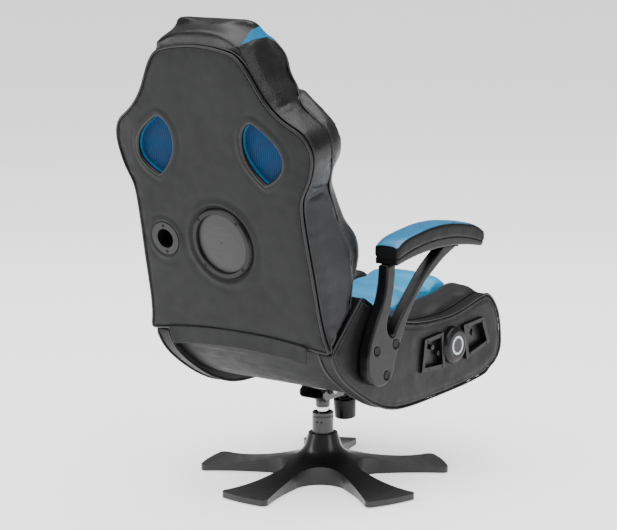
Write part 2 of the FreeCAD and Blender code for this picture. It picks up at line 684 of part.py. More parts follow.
def make_seat_cushions():
    base = DECK_TOP + S.seat_gap
    half = S.panel_half
    seams = [S.cushion_rear - 1]
    while seams[-1] - S.channel_pitch > -S.seat_front + S.channel_pitch * 0.9:
        seams.append(seams[-1] - S.channel_pitch)
    ribs = []
    for back, front in zip(seams, seams[1:]):
        sections = []
        for y, drop in ((back, S.channel_depth), ((back + front) / 2, 0), (front, S.channel_depth)):
            top = smoothed(SEAT_SURFACE, y) + 6 - drop
            sections.append(crown_section(-half, half, base, top - 9, top, seat_place(y)))
        ribs.append(Part.makeLoft(sections, True, False))
    last = seams[-1]
    reach = last + S.seat_front
    sections = []
    for share, rise in FRONT_ROLL:
        y = last - share * reach
        drop = S.channel_depth if share == 0 else 0
        top = smoothed(SEAT_SURFACE, max(y, -S.seat_front + 46)) + 4 + rise - drop
        sections.append(crown_section(-half, half, base, top - 9, top, seat_place(y)))
    ribs.append(Part.makeLoft(sections, True, False))
    keep(feature("seat_cushion", ribs[0].multiFuse(ribs[1:])))

    inner, outer = half + S.seat_gap, INNER_HALF
    stations = [S.cushion_rear - 1, 90, 20, -60, -150, -230, -300, -S.seat_front + 26, -S.seat_front + 2]
    sections = []
    for y in stations:
        edge = smoothed(BOLSTER_EDGE, y) - (34 if y == stations[-1] else 0)
        sections.append(crown_section(inner, outer, base, edge - 6, edge + 13, seat_place(y)))
    bolster = Part.makeLoft(sections, True, False)
    keep(feature("seat_bolster_left", bolster))
    keep(feature("seat_bolster_right", mirrored(bolster)))


# Control hub and frames on the right side panel, as (y, z) points
HUB_CENTRE = (-168, 318)
REAR_FRAME = [(-50, 351), (-37, 276), (-132, 271), (-124, 356)]
FRONT_FRAME = [(-207, 358), (-291, 363), (-319, 298), (-219, 275)]
VOLUME_PLACE = (-88, 326)
BASS_PLACE = (-112, 308)
JACK_PLACE = (-241, 315)
SWITCH_PLACE = (-262, 330)
PANEL_SCREWS = [(-64, 279), (-118, 276), (-61, 345), (-114, 347), (-234, 285), (-301, 297), (-284, 355),
                (-223, 351)]


def polygon(points):
    """A closed outline of straight lines."""
    outline = Outline(points[0])
    for point in points[1:]:
        outline.line(point)
    return outline.close()


def shrunk(points, share):
    """Corners drawn towards their centre."""
    centre = [sum(axis) / len(points) for axis in zip(*points)]
    return [tuple(c + (p - c) * share for p, c in zip(point, centre)) for point in points]


def on_panel(outline, rise_from, rise_to):
    """A solid that stands out of the right side panel."""
    return side_solid(outline, -SEAT_HALF - rise_to, -SEAT_HALF - rise_from)


def panel_rod(radius, place, rise_from, rise_to):
    """A round solid that stands out of the right side panel."""
    return rod(radius, (-SEAT_HALF - rise_from, *place), (-SEAT_HALF - rise_to, *place))


def make_controls():
    recess = 12
    windows = [on_panel(polygon(shrunk(frame, 0.76)), -recess, S.bezel_rise + 5)
               for frame in (REAR_FRAME, FRONT_FRAME)]
    frames = [on_panel(polygon(frame), 0, S.bezel_rise) for frame in (REAR_FRAME, FRONT_FRAME)]
    sockets = [on_panel(polygon(shrunk(frame, 0.84)), -recess, 0) for frame in (REAR_FRAME, FRONT_FRAME)]
    rise = S.hub_rise
    dome = Outline((0, 0)).line((S.hub_radius, 0)).line((S.hub_radius, rise * 0.45))
    dome.arc((S.hub_radius - 6, rise * 0.9), (S.ring_radius + 3, rise)).line((0, rise)).close()
    hub = turned(dome)
    hub.Placement = Placement(Vector(-SEAT_HALF, *HUB_CENTRE), Rotation(Vector(0, 1, 0), -90))
    bezel = frames[0].multiFuse([frames[1], hub] + sockets)
    window_pair = windows[0].fuse(windows[1]).cut(panel_rod(S.hub_radius - 1, HUB_CENTRE, -recess - 5, 60))
    bezel = bezel.cut(window_pair)
    ring_gap = 0.05
    bezel = bezel.cut(panel_rod(S.ring_radius + ring_gap, HUB_CENTRE, rise - 5, rise + 5))
    screws, pockets = [], []
    for place in PANEL_SCREWS:
        screws.append(panel_rod(2.6, place, S.bezel_rise - 4, S.bezel_rise - 0.8))
        pockets.append(panel_rod(2.65, place, S.bezel_rise - 4, S.bezel_rise + 3))
    for pocket in pockets:
        bezel = bezel.cut(pocket)
    keep(feature("control_bezel", bezel.removeSplitter()))
    keep(feature("panel_screws", Part.makeCompound(screws)))

    plates = [on_panel(polygon(shrunk(frame, 0.755)), -recess, -recess + 3)
              for frame in (REAR_FRAME, FRONT_FRAME)]
    plates = [plate.cut(panel_rod(S.hub_radius - 0.5, HUB_CENTRE, -recess - 5, 60)) for plate in plates]
    face = -recess + 3
    knob_radius, shaft = S.small_knob_diameter / 2, 3
    for place in (VOLUME_PLACE, BASS_PLACE):
        plates[0] = plates[0].cut(panel_rod(shaft + S.running_gap, place, -recess - 2, face + 2))
    plates[1] = plates[1].cut(panel_rod(5, JACK_PLACE, -recess - 2, face + 2))
    slot_y, slot_z = SWITCH_PLACE
    slot = block((-SEAT_HALF - 5, slot_y - 3.5, slot_z - 8), (-SEAT_HALF + 20, slot_y + 3.5, slot_z + 8))
    plates[1] = plates[1].cut(slot)
    keep(feature("control_plates", Part.makeCompound(plates)))
    for name, place in (("volume_knob", VOLUME_PLACE), ("bass_knob", BASS_PLACE)):
        grip = panel_rod(knob_radius, place, face + S.seat_gap, face + S.seat_gap + S.small_knob_height)
        stem = panel_rod(shaft, place, -recess - 1, face + 1)
        mark_floor = -SEAT_HALF - face - S.small_knob_height + 0.7
        mark = block((mark_floor - 20, place[0] - 0.5, place[1]),
                     (mark_floor, place[0] + 0.5, place[1] + knob_radius + 1))
        keep(feature(name, grip.fuse(stem).cut(mark)))
    jack = panel_rod(4.9, JACK_PLACE, -recess, face + 4).cut(panel_rod(2.2, JACK_PLACE, -recess + 4, face + 6))
    keep(feature("audio_jack", jack.fuse(panel_rod(8, JACK_PLACE, face + 0.02, face + 2).cut(
        panel_rod(2.2, JACK_PLACE, -recess, face + 6)))))
    switch = block((-SEAT_HALF - face - 4, slot_y - 3.2, slot_z - 5),
                   (-SEAT_HALF + recess - 1, slot_y + 3.2, slot_z + 2))
    keep(feature("power_switch", switch))
    ring_solid = panel_rod(S.ring_radius, HUB_CENTRE, rise - 5, rise + 1.2)
    ring_solid = ring_solid.cut(panel_rod(S.ring_radius - 5, HUB_CENTRE, rise - 6, rise + 3))
    keep(feature("light_ring", ring_solid))
    keep(feature("hub_lens", panel_rod(S.ring_radius - 5, HUB_CENTRE, rise - 5, rise + 0.2)))
    return recess


def make_side_panels(recess):
    """Both side panels; the right one is cut out behind the controls."""
    outline = side_panel_outline()
    inner = SEAT_HALF - S.side_thickness
    keep(padded_body("side_panel_left", "YZ_Plane", outline, "Sizes.side_thickness", inner))
    right = padded_body("side_panel_blank", "YZ_Plane", outline, "Sizes.side_thickness", -SEAT_HALF)
    pockets = [on_panel(polygon(shrunk(frame, 0.845)), -recess - 6, 1) for frame in (REAR_FRAME, FRONT_FRAME)]
    pocket = feature("control_pockets", pockets[0].fuse(pockets[1]))
    keep(cut("side_panel_right", right, pocket))


# Arms, as (y, z) points
ARM_BOLTS = [(174, 370), (104, 374), (138, 309)]
PAD_REAR, PAD_FRONT = 126, -218
FORK_REAR = [(205, 325), (207, 349), (201, 377), (188, 408), (173, 434), (158, 458), (145, 485), (137, 514),
             (133, 558)]
FORK_GAP_REAR = [(105, 520), (113, 482), (121, 457), (129, 437)]
FORK_GAP_FRONT = [(90, 421), (70, 444), (51, 463), (16, 496), (-20, 527), (-68, 558), (-90, 574)]
FORK_FRONT = [(-116, 550), (-80, 535), (-43, 514), (-7, 491), (20, 465), (45, 438), (63, 410), (78, 384),
              (93, 357), (105, 333)]


def arm_line(rear_z, middle_z, front_z, front_y):
    """One of the long gentle curves of the arm pad."""
    return (PAD_REAR, rear_z), ((PAD_REAR + PAD_FRONT) / 2 + 20, middle_z), (front_y, front_z)


BASE_UNDER = arm_line(553, 570, 550, PAD_FRONT + 10)
BASE_UPPER = arm_line(568, 592, 560, PAD_FRONT)


def fork_outline():
    """The forked arm frame: a rounded foot, an upright rear leg and a curved front leg."""
    fork = Outline((145, 286)).arc((186, 297), FORK_REAR[0]).curve(*FORK_REAR[1:])
    fork.line((102, 558)).curve(*FORK_GAP_REAR).curve((134, 418), (128, 399), (117, 392), (104, 402))
    fork.curve(*FORK_GAP_FRONT).line((-150, 574)).line((-150, 563)).curve(*FORK_FRONT)
    return fork.curve((117, 302), (145, 286))


def arm_pad_solid():
    """The crowned pad on its base, narrowed and lowered towards both ends."""
    pad_half = S.arm_pad_width / 2
    stations = [PAD_REAR, PAD_REAR - 14, 70, -10, -90, -160, PAD_FRONT + 16, PAD_FRONT]
    narrow = {0: 9, 1: 1, 6: 2, 7: 12}
    drop = {0: 12, 1: 2, 6: 3, 7: 13}
    below = 6
    upper = Part.ArcOfCircle(*[flat(point) for point in BASE_UPPER])
    sections = []
    for index, y in enumerate(stations):
        floor = upper.Center.y + math.sqrt(upper.Radius ** 2 - (y - upper.Center.x) ** 2) - below
        top = floor + below + S.arm_crown - drop.get(index, 0)
        pull = narrow.get(index, 0)
        sections.append(crown_section(ARM_CENTRE - pad_half + pull, ARM_CENTRE + pad_half - pull,
                                      floor, top - 11, top, seat_place(y)))
    pad = Part.makeLoft(sections, True, False)
    lid = [(y, z + S.seat_gap) for y, z in BASE_UPPER]
    rear, front = lid[0][0] + 40, lid[2][0] - 40
    over = Outline((rear, lid[0][1] - 3)).line(lid[0]).arc(lid[1], lid[2]).line((front, lid[2][1] - 3))
    over.line((front, 700)).line((rear, 700)).close()
    return pad.common(side_solid(over, ARM_CENTRE - S.arm_pad_width, ARM_CENTRE + S.arm_pad_width))


def make_arm(side):
    """A forked arm frame, its spacers and bolts, and the pad base and pad on top."""
    inner, outer = ARM_INNER, ARM_OUTER
    rear, middle, front = BASE_UNDER
    below = Outline((rear[0] + 80, rear[1])).line(rear).arc(middle, front).line((front[0] - 60, front[1]))
    below.line((front[0] - 60, 200)).line((rear[0] + 80, 200)).close()
    plate = side_solid(fork_outline(), inner, outer).common(side_solid(below, inner - 5, outer + 5))
    plate = plate.removeSplitter()
    head, shank, fit = 9, 4, 0.05
    for y, z in ARM_BOLTS:
        plate = plate.cut(rod(head + fit, (outer - 4, y, z), (outer + 5, y, z)))
        plate = plate.cut(rod(shank + fit, (inner - 5, y, z), (outer, y, z)))
    spacers = [ring(head + 1, shank + fit, (SEAT_HALF, y, z), (inner, y, z)) for y, z in ARM_BOLTS]
    bolts = []
    for y, z in ARM_BOLTS:
        cap = rod(head, (outer - 4, y, z), (outer - 0.6, y, z))
        bolts.append(cap.fuse(rod(shank, (SEAT_HALF - 22, y, z), (outer - 3, y, z))))
    base_half = S.arm_base_width / 2
    base = Outline(rear).arc(middle, front).line(BASE_UPPER[2]).arc(BASE_UPPER[1], BASE_UPPER[0]).close()
    base = side_solid(base, ARM_CENTRE - base_half, ARM_CENTRE + base_half)
    pieces = {"arm_frame": plate, "arm_pad_base": base, "arm_pad": arm_pad_solid(),
              "arm_spacers": Part.makeCompound(spacers), "arm_bolts": Part.makeCompound(bolts)}
    return {name: shape if side > 0 else mirrored(shape) for name, shape in pieces.items()}


def make_arms():
    arms = {name: make_arm(side) for name, side in SIDES.items()}
    for name in ("arm_frame", "arm_pad_base", "arm_pad"):
        for side in SIDES:
            keep(feature(f"{name}_{side}", arms[side][name]))
    for name in ("arm_spacers", "arm_bolts"):
        keep(feature(name, Part.makeCompound([solid for side in SIDES for solid in arms[side][name].Solids])))
    return [solid for side in SIDES for solid in arms[side]["arm_bolts"].Solids]


# The back, in its own upright frame: x across, y = 0 at the rear face and negative forward, z up the rear face
# Edge of the rear panel as (distance outside the seat's side, height up the back)
BACK_EDGE = [(-6, 38), (-12, 106), (-14, 183), (-18, 314), (-11, 358), (2, 380), (17, 416), (23, 450),
             (18, 474), (2, 497), (-24, 515), (-50, 535), (-87, 582), (-121, 641), (-145, 664)]
BACK_HALF = [(SEAT_HALF + out, z) for out, z in BACK_EDGE]
BACK_CORNER = (SEAT_HALF + 4, 1)
BACK_ARCH = 17
BACK_TOP = 679
BULGE_TOP = 380
HEAD_TOP = 706
HEAD_SHOULDER = 12
BACK_DEPTH = [(78, 148), (100, 163), (161, 177), (185, 179), (210, 174), (262, 158), (303, 151), (328, 143),
              (368, 133), (413, 122), (470, 122), (528, 124), (592, 128), (630, 134)]
HEAD_FRONT = [(660, 130), (690, 112)]
HEAD_CREST = (720, 82)
VENT_CORNERS = {"top": (134, 517), "outer": (203, 440), "bottom": (150, 379), "inner": (97, 462)}


# How far the side bolsters stand out of the front line, along the back
BOLSTER_RISE = [(86, -16), (104, 0), (150, 22), (210, 26), (262, 16), (314, 8), (358, 10), (404, 20), (450, 27),
                (496, 26), (535, 22)]


def back_outline(top, shoulder=0, bulge=0):
    """The back seen from behind; a shoulder widens the head's top corners and a bulge its sides."""
    right = [(x + bulge * math.sin(math.pi * min(z / BULGE_TOP, 1)), z) for x, z in BACK_HALF]
    if shoulder:
        right[-1] = (right[-1][0] + shoulder, right[-1][1] + shoulder)
    left = [(-x, z) for x, z in reversed(right)]
    corner_x, corner_z = BACK_CORNER
    outline = Outline((corner_x, corner_z)).curve(*right)
    outline.arc((0, top), left[0]).curve(*left[1:], (-corner_x, corner_z))
    return outline.arc((0, BACK_ARCH), (corner_x, corner_z))


def depth_line(inset=0):
    """The back's front line as (y, z), drawn in by an inset."""
    return [(-depth + inset, z) for z, depth in BACK_DEPTH]


def pivot_in_back():
    """The hinge pivot in the back's own frame."""
    point = BACK_PLACE.inverse().multVec(Vector(0, S.hinge_back, S.hinge_height))
    return point.y, point.z


def head_line(inset):
    """From the front of the head over its crest, as (y, z)."""
    front = [(-depth + inset, z) for z, depth in HEAD_FRONT]
    return front + [(-HEAD_CREST[1] + inset / 4, HEAD_CREST[0])]


def back_profile(rear, inset):
    """The back seen from the side, from its rear line to a front line drawn in by an inset."""
    seam_y, seam_z = pivot_in_back()
    slope = (seam_z + 8) / (-seam_y - 11)
    start_z = slope * (-rear - 11) - 2
    front = depth_line(inset)
    entry = (front[0][0], seam_z + 4 - slope * inset)
    outline = Outline((rear, start_z)).line(entry).line(front[0]).curve(*front[1:])
    outline.curve(*head_line(inset)).curve((-40, HEAD_TOP + 3), (rear, BACK_TOP))
    return outline.close()


def frame_tube():
    """A tube that runs up one side, draws in, crosses over and comes down, filleted with arcs."""
    half_low, half_high = HINGE_INNER + S.hinge_plate + S.tube_radius, 88
    bend_low, bend_high, top = 345, 420, 640
    start = S.hinge_height - S.back_foot_z + 2
    corners = [(half_low, start), (half_low, bend_low), (half_high, bend_high), (half_high, top),
               (-half_high, top), (-half_high, bend_high), (-half_low, bend_low), (-half_low, start)]
    points = [Vector(x, -S.tube_depth, z) for x, z in corners]
    edges, last = [], points[0]
    for before, here, after in zip(points, points[1:], points[2:]):
        into, out = (before - here).normalize(), (after - here).normalize()
        angle = into.getAngle(out)
        bend = 45
        reach = bend / math.tan(angle / 2)
        enter, leave = here + into * reach, here + out * reach
        middle = here + (into + out).normalize() * (bend / math.sin(angle / 2) - bend)
        edges.append(Part.LineSegment(last, enter).toShape())
        edges.append(Part.ArcOfCircle(enter, middle, leave).toShape())
        last = leave
    edges.append(Part.LineSegment(last, points[-1]).toShape())
    path = Part.Wire(edges)
    profile = Part.Wire(Part.Circle(points[0], Vector(0, 0, 1), S.tube_radius).toShape())
    return path.makePipeShell([profile], True, False)


def across(radius, place, y_from, y_to):
    """A round solid along the back's depth."""
    return rod(radius, (place[0], y_from, place[1]), (place[0], y_to, place[1]))


def turned_back(outline, place):
    """A (radius, depth) outline turned about an axis that points forward out of the rear face."""
    solid = turned(outline)
    solid.Placement = Placement(Vector(place[0], 0, place[1]), Rotation(X_AXIS, 90))
    return solid


def vent_outline(share=1.0):
    """The leaf-shaped vent on the +X side, scaled about its middle."""
    centre_x = sum(x for x, z in VENT_CORNERS.values()) / 4
    centre_z = sum(z for x, z in VENT_CORNERS.values()) / 4

    def at(x, z):
        return centre_x + (x - centre_x) * share, centre_z + (z - centre_z) * share

    top, outer, bottom, inner = (at(*VENT_CORNERS[name]) for name in ("top", "outer", "bottom", "inner"))
    outline = Outline(top).curve(at(163, 498), at(191, 471), outer).curve(at(197, 415), at(178, 395), bottom)
    return outline.curve(at(126, 400), at(104, 432), inner).curve(at(101, 488), at(114, 508), top)


def in_back(label, shape):
    """A sub-part of the back, built upright and leaned with it."""
    return keep(feature(label, shape, BACK_PLACE))


def make_back():
    thickness = S.back_panel_thickness
    woofer, port = (0, S.woofer_rise), (S.port_side, S.port_rise)
    vent = rear_solid(vent_outline(), -thickness - 60, 5)
    vents = vent.fuse(mirrored(vent))
    ledge = rear_solid(vent_outline(1.04), -thickness - 0.1, -thickness + 4)
    ledges = ledge.fuse(mirrored(ledge))
    woofer_hole = across(S.woofer_grille / 2 + 1, woofer, -thickness - 5, 10)
    port_hole = across(S.port_bore / 2 + 3.05, port, -thickness - 5, 10)

    panel = rear_solid(back_outline(BACK_TOP), -thickness, 0)
    lower_cut = Outline((5, -20)).line((-thickness - 5, -20)).line((-thickness - 5, 4)).line((5, -2)).close()
    panel = panel.cut(side_solid(lower_cut, -300, 300)).cut(vents).cut(ledges).cut(woofer_hole).cut(port_hole)
    screws, screw_holes = [], []
    bolt_circle = (S.woofer_bezel + S.woofer_grille) / 4
    bezel_depth = 7
    spots = [(woofer[0] + bolt_circle * math.cos(math.radians(turn)),
              woofer[1] + bolt_circle * math.sin(math.radians(turn)), bezel_depth)
             for turn in (45, 135, 225, 315)]
    flange_circle = (S.port_flange + S.port_bore) / 4
    spots += [(port[0], port[1] + flange_circle, 3), (port[0], port[1] - flange_circle, 3)]
    for x, z, proud in spots:
        shank = across(2, (x, z), -thickness + 1, proud - 2)
        head = across(4, (x, z), proud - 2.5, proud - 0.5)
        screws.append(shank.fuse(head))
        screw_holes.append(across(2.05, (x, z), -thickness - 3, 20).fuse(across(4.05, (x, z), proud - 2.5, 20)))
    for hole in screw_holes:
        panel = panel.cut(hole)
    in_back("back_panel", panel)
    in_back("back_screws", Part.makeCompound(screws))

    inner_radius, outer_radius = S.woofer_grille / 2, S.woofer_bezel / 2
    bezel = Outline((inner_radius, 0)).line((outer_radius, 0)).line((outer_radius, -2))
    bezel.line((outer_radius - 3.5, -bezel_depth)).line((inner_radius + 2, -bezel_depth))
    bezel.line((inner_radius, -bezel_depth + 4)).close()
    bezel = turned_back(bezel, woofer)
    for hole in screw_holes[:4]:
        bezel = bezel.cut(hole)
    in_back("speaker_bezel", bezel)
    grille = Outline((0, -1)).line((0, -3)).line((inner_radius * 0.6, -2.4)).line((inner_radius - 0.1, -0.4))
    grille.line((inner_radius - 0.1, 1.6)).line((inner_radius * 0.6, -0.4)).close()
    in_back("speaker_grille", turned_back(grille, woofer))
    basket = Outline((0, 86)).line((0, 30)).arc((18, 26), (52, 9)).line((66, thickness)).line((74, thickness))
    basket.line((74, thickness + 5)).line((68, thickness + 5)).line((46, 56)).line((46, 86)).close()
    in_back("speaker_driver", turned_back(basket, woofer))

    box_low, box_high = (-112, -100, 128), (HINGE_INNER + S.hinge_plate - 1, -thickness, 322)
    wall = 9
    hollow = block(tuple(v + wall for v in box_low), (box_high[0] - wall, 5, box_high[2] - wall))
    enclosure = block(box_low, box_high).cut(hollow)
    in_back("speaker_enclosure", enclosure)
    tube = ring(S.port_bore / 2 + 3, S.port_bore / 2, (port[0], 3, port[1]), (port[0], -S.port_length, port[1]))
    flange = ring(S.port_flange / 2, S.port_bore / 2, (port[0], 0, port[1]), (port[0], 3, port[1]))
    for hole in screw_holes[4:]:
        flange = flange.cut(hole)
    in_back("bass_port", tube.fuse(flange).removeSplitter())

    frame = frame_tube()
    in_back("back_frame", frame)

    speakers, sockets = [], []
    for side in (-1, 1):
        place = (side * 150, 447)
        rim = across(34, place, -thickness - 6, -thickness - 12)
        speakers.append(rim.fuse(across(24, place, -thickness - 11, -thickness - 34)))
        sockets.append(across(34.05, place, -thickness + 1, -thickness - 12))
        sockets.append(across(26, place, -thickness - 11, -thickness - 38))
    in_back("wing_speakers", Part.makeCompound(speakers))

    pivot_y, pivot_z = pivot_in_back()
    plates, plate_pockets, eye_pockets = make_back_hinges(pivot_y, pivot_z)
    in_back("back_hinge_plates", Part.makeCompound(plates))

    shell = rear_solid(back_outline(HEAD_TOP, HEAD_SHOULDER, S.gusset_bulge), -400, 0)
    shell = shell.common(side_solid(back_profile(-thickness, S.padding), -400, 400))
    cavity = block((box_low[0] - 1, box_low[1] - 1, box_low[2] - 1), (box_high[0] + 1, 5, box_high[2] + 1))
    shell = shell.cut(cavity).cut(frame)
    for tool in sockets + plate_pockets + eye_pockets:
        shell = shell.cut(tool)
    in_back("back_core", biggest(shell))
    mesh = rear_solid(vent_outline(1.035), -thickness, -thickness + 3)
    in_back("vent_meshes", Part.makeCompound([mesh, mirrored(mesh)]))

    make_back_cushions(plate_pockets + eye_pockets)
    flap_top = BACK_ARCH + 4
    half, hem = SEAT_HALF - 52, SEAT_HALF - 59
    flap = Outline((-half, flap_top - 9)).arc((0, flap_top + 4), (half, flap_top - 9)).line((hem, -30))
    flap.arc((0, -17), (-hem, -30)).close()
    in_back("rear_flap", rear_solid(flap, 0.02, 3))


def biggest(shape):
    """The largest solid of a cut that may leave crumbs."""
    return max(shape.Solids, key=lambda solid: solid.Volume)


def back_station(z):
    """Stands a section of (x, depth) points on the back at a height."""
    return Placement(Vector(0, 0, z), Rotation(X_AXIS, Vector(0, -1, 0), Vector(0, 0, -1), "ZXY"))


def make_back_cushions(hinge_pockets):
    gap = S.seat_gap
    front = depth_line(S.padding - gap)
    room = Outline((-400, -100)).line((front[0][0], -100)).line(front[0])
    room.curve(*front[1:]).curve(*head_line(S.padding - gap)).line((-60, 800)).line((-400, 800)).close()
    room = side_solid(room, -400, 400)

    half = S.panel_half
    seams = [112]
    while seams[-1] + S.channel_pitch < 560:
        seams.append(seams[-1] + S.channel_pitch)
    ribs = []
    for low, high in zip(seams, seams[1:]):
        sections = []
        for z, drop in ((low, S.channel_depth), ((low + high) / 2, 0), (high, S.channel_depth)):
            top = smoothed(BACK_DEPTH, z) + 4 - drop
            sections.append(crown_section(-half, half, top - 60, top - 9, top, back_station(z)))
        ribs.append(Part.makeLoft(sections, True, False))
    foot = []
    for z, pull in ((seams[0], S.channel_depth), (94, 0), (80, S.channel_depth)):
        top = smoothed(BACK_DEPTH, max(z, 84)) + 4 - pull
        foot.append(crown_section(-half, half, top - 50, top - 9, top, back_station(z)))
    ribs.append(Part.makeLoft(foot, True, False))
    foot = []
    for z, depth in ((80, 146), (62, 153), (34, 150), (12, 138)):
        foot.append(crown_section(-HINGE_INNER, HINGE_INNER, 90, depth - 8, depth, back_station(z)))
    ribs.append(Part.makeLoft(foot, True, False))
    cushion = ribs[0].multiFuse(ribs[1:]).common(room)
    in_back("back_cushion", biggest(cushion))

    widths = sorted((z, x) for x, z in BACK_HALF)
    inner = half + gap
    sections = []
    for z, rise in BOLSTER_RISE + [(seams[-1], 16)]:
        outer = smoothed(widths, z) - 2
        top = smoothed(BACK_DEPTH, z) + rise
        sections.append(crown_section(inner, outer, top - 70, top - 14, top, back_station(z)))
    bolster = Part.makeLoft(sections, True, False).common(room)
    for pocket in hinge_pockets:
        bolster = bolster.cut(pocket)
    bolster = biggest(bolster)
    in_back("back_bolster_left", bolster)
    in_back("back_bolster_right", mirrored(bolster))

    sections = []
    low = seams[-1] + gap
    crest = [(low, -4, 12), (low + 18, 20, 5), (600, 31, 3), (634, 34, -2), (664, 29, -6), (686, 12, -6),
             (702, -8, 0), (712, -32, 14)]
    for z, rise, pull in crest:
        outer = smoothed(widths, min(z, 660)) - pull
        top = smoothed(BACK_DEPTH, min(z, 630)) + rise
        base = 60
        sections.append(crown_section(-outer, outer, base, top - 18, top, back_station(z)))
    head = Part.makeLoft(sections, True, False).common(room)
    in_back("head_cushion", biggest(head))


def make_back_hinges(pivot_y, pivot_z):
    """Back-side hinge plates and the pockets that they and the seat-side eyes need in the core."""
    eye = S.hinge_eye
    plates, pockets, eyes = [], [], []
    for side in (-1, 1):
        inner, outer = HINGE_INNER, HINGE_INNER + S.hinge_plate
        if side < 0:
            inner, outer = -outer, -inner
        strap = Outline((pivot_y - 2, pivot_z + eye - 1)).line((pivot_y + eye - 2, pivot_z - 4))
        strap.line((S.tube_radius - S.tube_depth, 110)).line((S.tube_radius - S.tube_depth, 126))
        strap.line((-S.tube_radius - S.tube_depth, 126)).close()
        plate = side_solid(strap, inner, outer)
        disc = rod(eye, (inner, pivot_y, pivot_z), (outer, pivot_y, pivot_z))
        plate = plate.fuse(disc).cut(rod(S.pin_diameter / 2 + S.running_gap, (inner - 9, pivot_y, pivot_z),
                                         (outer + 9, pivot_y, pivot_z)))
        plates.append(plate.removeSplitter())
        pockets.append(side_solid(strap, inner - 0.3, outer + 0.3).fuse(
            rod(eye + 0.5, (inner - 0.3, pivot_y, pivot_z), (outer + 0.3, pivot_y, pivot_z))))
        low, high = (outer + 0.1, INNER_HALF + 2) if side > 0 else (-INNER_HALF - 2, inner - 0.1)
        eyes.append(rod(eye + 1.5, (low, pivot_y, pivot_z), (high, pivot_y, pivot_z)))
        cap_low, cap_high = (inner - 6, inner) if side > 0 else (outer, outer + 6)
        eyes.append(rod(S.pin_diameter / 2 + 4, (cap_low, pivot_y, pivot_z), (cap_high, pivot_y, pivot_z)))
    return plates, pockets, eyes


def make_seat_hinges():
    """Seat-side hinge plates standing on the deck, and the pins."""
    eye, pin = S.hinge_eye, S.pin_diameter / 2
    y, z = S.hinge_back, S.hinge_height
    inner = HINGE_INNER + S.hinge_plate + 0.5
    outer = inner + S.hinge_plate
    foot_rear, foot_bottom = S.cushion_rear, FRAME_TOP - 38
    strap = Outline((foot_rear, foot_bottom)).line((foot_rear + 26, foot_bottom))
    strap.line((foot_rear + 30, DECK_TOP + 40))
    strap.line((y + eye - 1, z - 2)).line((y - eye + 1, z + 2)).line((foot_rear, DECK_TOP + 60)).close()
    plate = side_solid(strap, inner, outer).fuse(rod(eye, (inner, y, z), (outer, y, z)))
    rail = block((INNER_HALF - S.frame_wall - 8, foot_rear, foot_bottom),
                 (inner, foot_rear + 22, foot_bottom + 20))
    plate = plate.fuse(rail).cut(rod(pin, (inner - 9, y, z), (outer + 9, y, z))).removeSplitter()
    keep(feature("seat_hinge_plates", Part.makeCompound([plate, mirrored(plate)])))
    shaft = rod(pin, (HINGE_INNER - 1, y, z), (outer, y, z))
    cap = rod(pin + 2.5, (HINGE_INNER - 4, y, z), (HINGE_INNER - 1, y, z))
    one = shaft.fuse(cap)
    keep(feature("hinge_pins", Part.makeCompound([one, mirrored(one)])))


def cut_node(label, tools):
    """Replaces a plain solid of the list by the same solid with holes for what passes through it."""
    for index, node in enumerate(nodes):
        if node.Label == label:
            node.Label = label + "_blank"
            tool = feature(label + "_holes", Part.makeCompound(tools))
            nodes[index] = cut(label, node, tool)


def check_and_export():
    document.recompute()
    faults = [thing.Label for thing in document.Objects if {"Invalid", "Error"} & set(thing.State)]
    for node in nodes:
        if node.Shape.isNull() or not node.Shape.isValid() or not node.Shape.Solids:
            faults.append(node.Label)
    if faults:
        raise RuntimeError("faulty sub-parts: " + ", ".join(faults))
    os.makedirs("parts", exist_ok=True)
    for node in nodes:
        node.Shape.exportStep(f"parts/{node.Label}.step")
    print(len(nodes), "sub-parts")


def main():
    rod_bottom = make_base()
    bush_bottom = make_collar()
    make_post(rod_bottom, bush_bottom)
    make_housing()
    make_seat_plate()
    make_tension()
    make_seat_box()
    make_seat_cushions()
    recess = make_controls()
    make_side_panels(recess)
    arm_bolts = make_arms()
    make_seat_hinges()
    for name in SIDES:
        cut_node(f"side_panel_{name}", arm_bolts)
    make_back()
    check_and_export()


main()
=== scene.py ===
import json
import math
import bmesh
import bpy
import numpy as np
from mathutils import Matrix, Vector, kdtree, noise
from mathutils.bvhtree import BVHTree


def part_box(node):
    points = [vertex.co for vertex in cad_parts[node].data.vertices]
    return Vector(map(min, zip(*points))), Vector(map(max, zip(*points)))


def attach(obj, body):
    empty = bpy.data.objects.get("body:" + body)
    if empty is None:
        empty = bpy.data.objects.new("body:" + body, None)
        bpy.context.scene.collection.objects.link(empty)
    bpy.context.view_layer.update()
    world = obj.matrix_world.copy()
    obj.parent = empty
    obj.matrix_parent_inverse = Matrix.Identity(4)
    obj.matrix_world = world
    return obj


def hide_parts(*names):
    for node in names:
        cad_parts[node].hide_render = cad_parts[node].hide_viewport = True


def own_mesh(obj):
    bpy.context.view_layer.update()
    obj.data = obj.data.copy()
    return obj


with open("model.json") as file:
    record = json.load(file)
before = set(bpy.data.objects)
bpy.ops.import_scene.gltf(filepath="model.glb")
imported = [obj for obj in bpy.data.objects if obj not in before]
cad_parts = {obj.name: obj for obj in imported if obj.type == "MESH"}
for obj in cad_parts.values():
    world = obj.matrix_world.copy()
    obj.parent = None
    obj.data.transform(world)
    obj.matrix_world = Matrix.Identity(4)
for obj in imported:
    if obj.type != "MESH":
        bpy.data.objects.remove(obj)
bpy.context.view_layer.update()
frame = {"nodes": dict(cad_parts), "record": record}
NODES = frame["nodes"]
RECORD = frame["record"]
BODY = {node: body for body, names in RECORD["behaviour"]["bodies"].items() for node in names}
SLOT = {name: obj.data.materials[0].name for name, obj in NODES.items()}

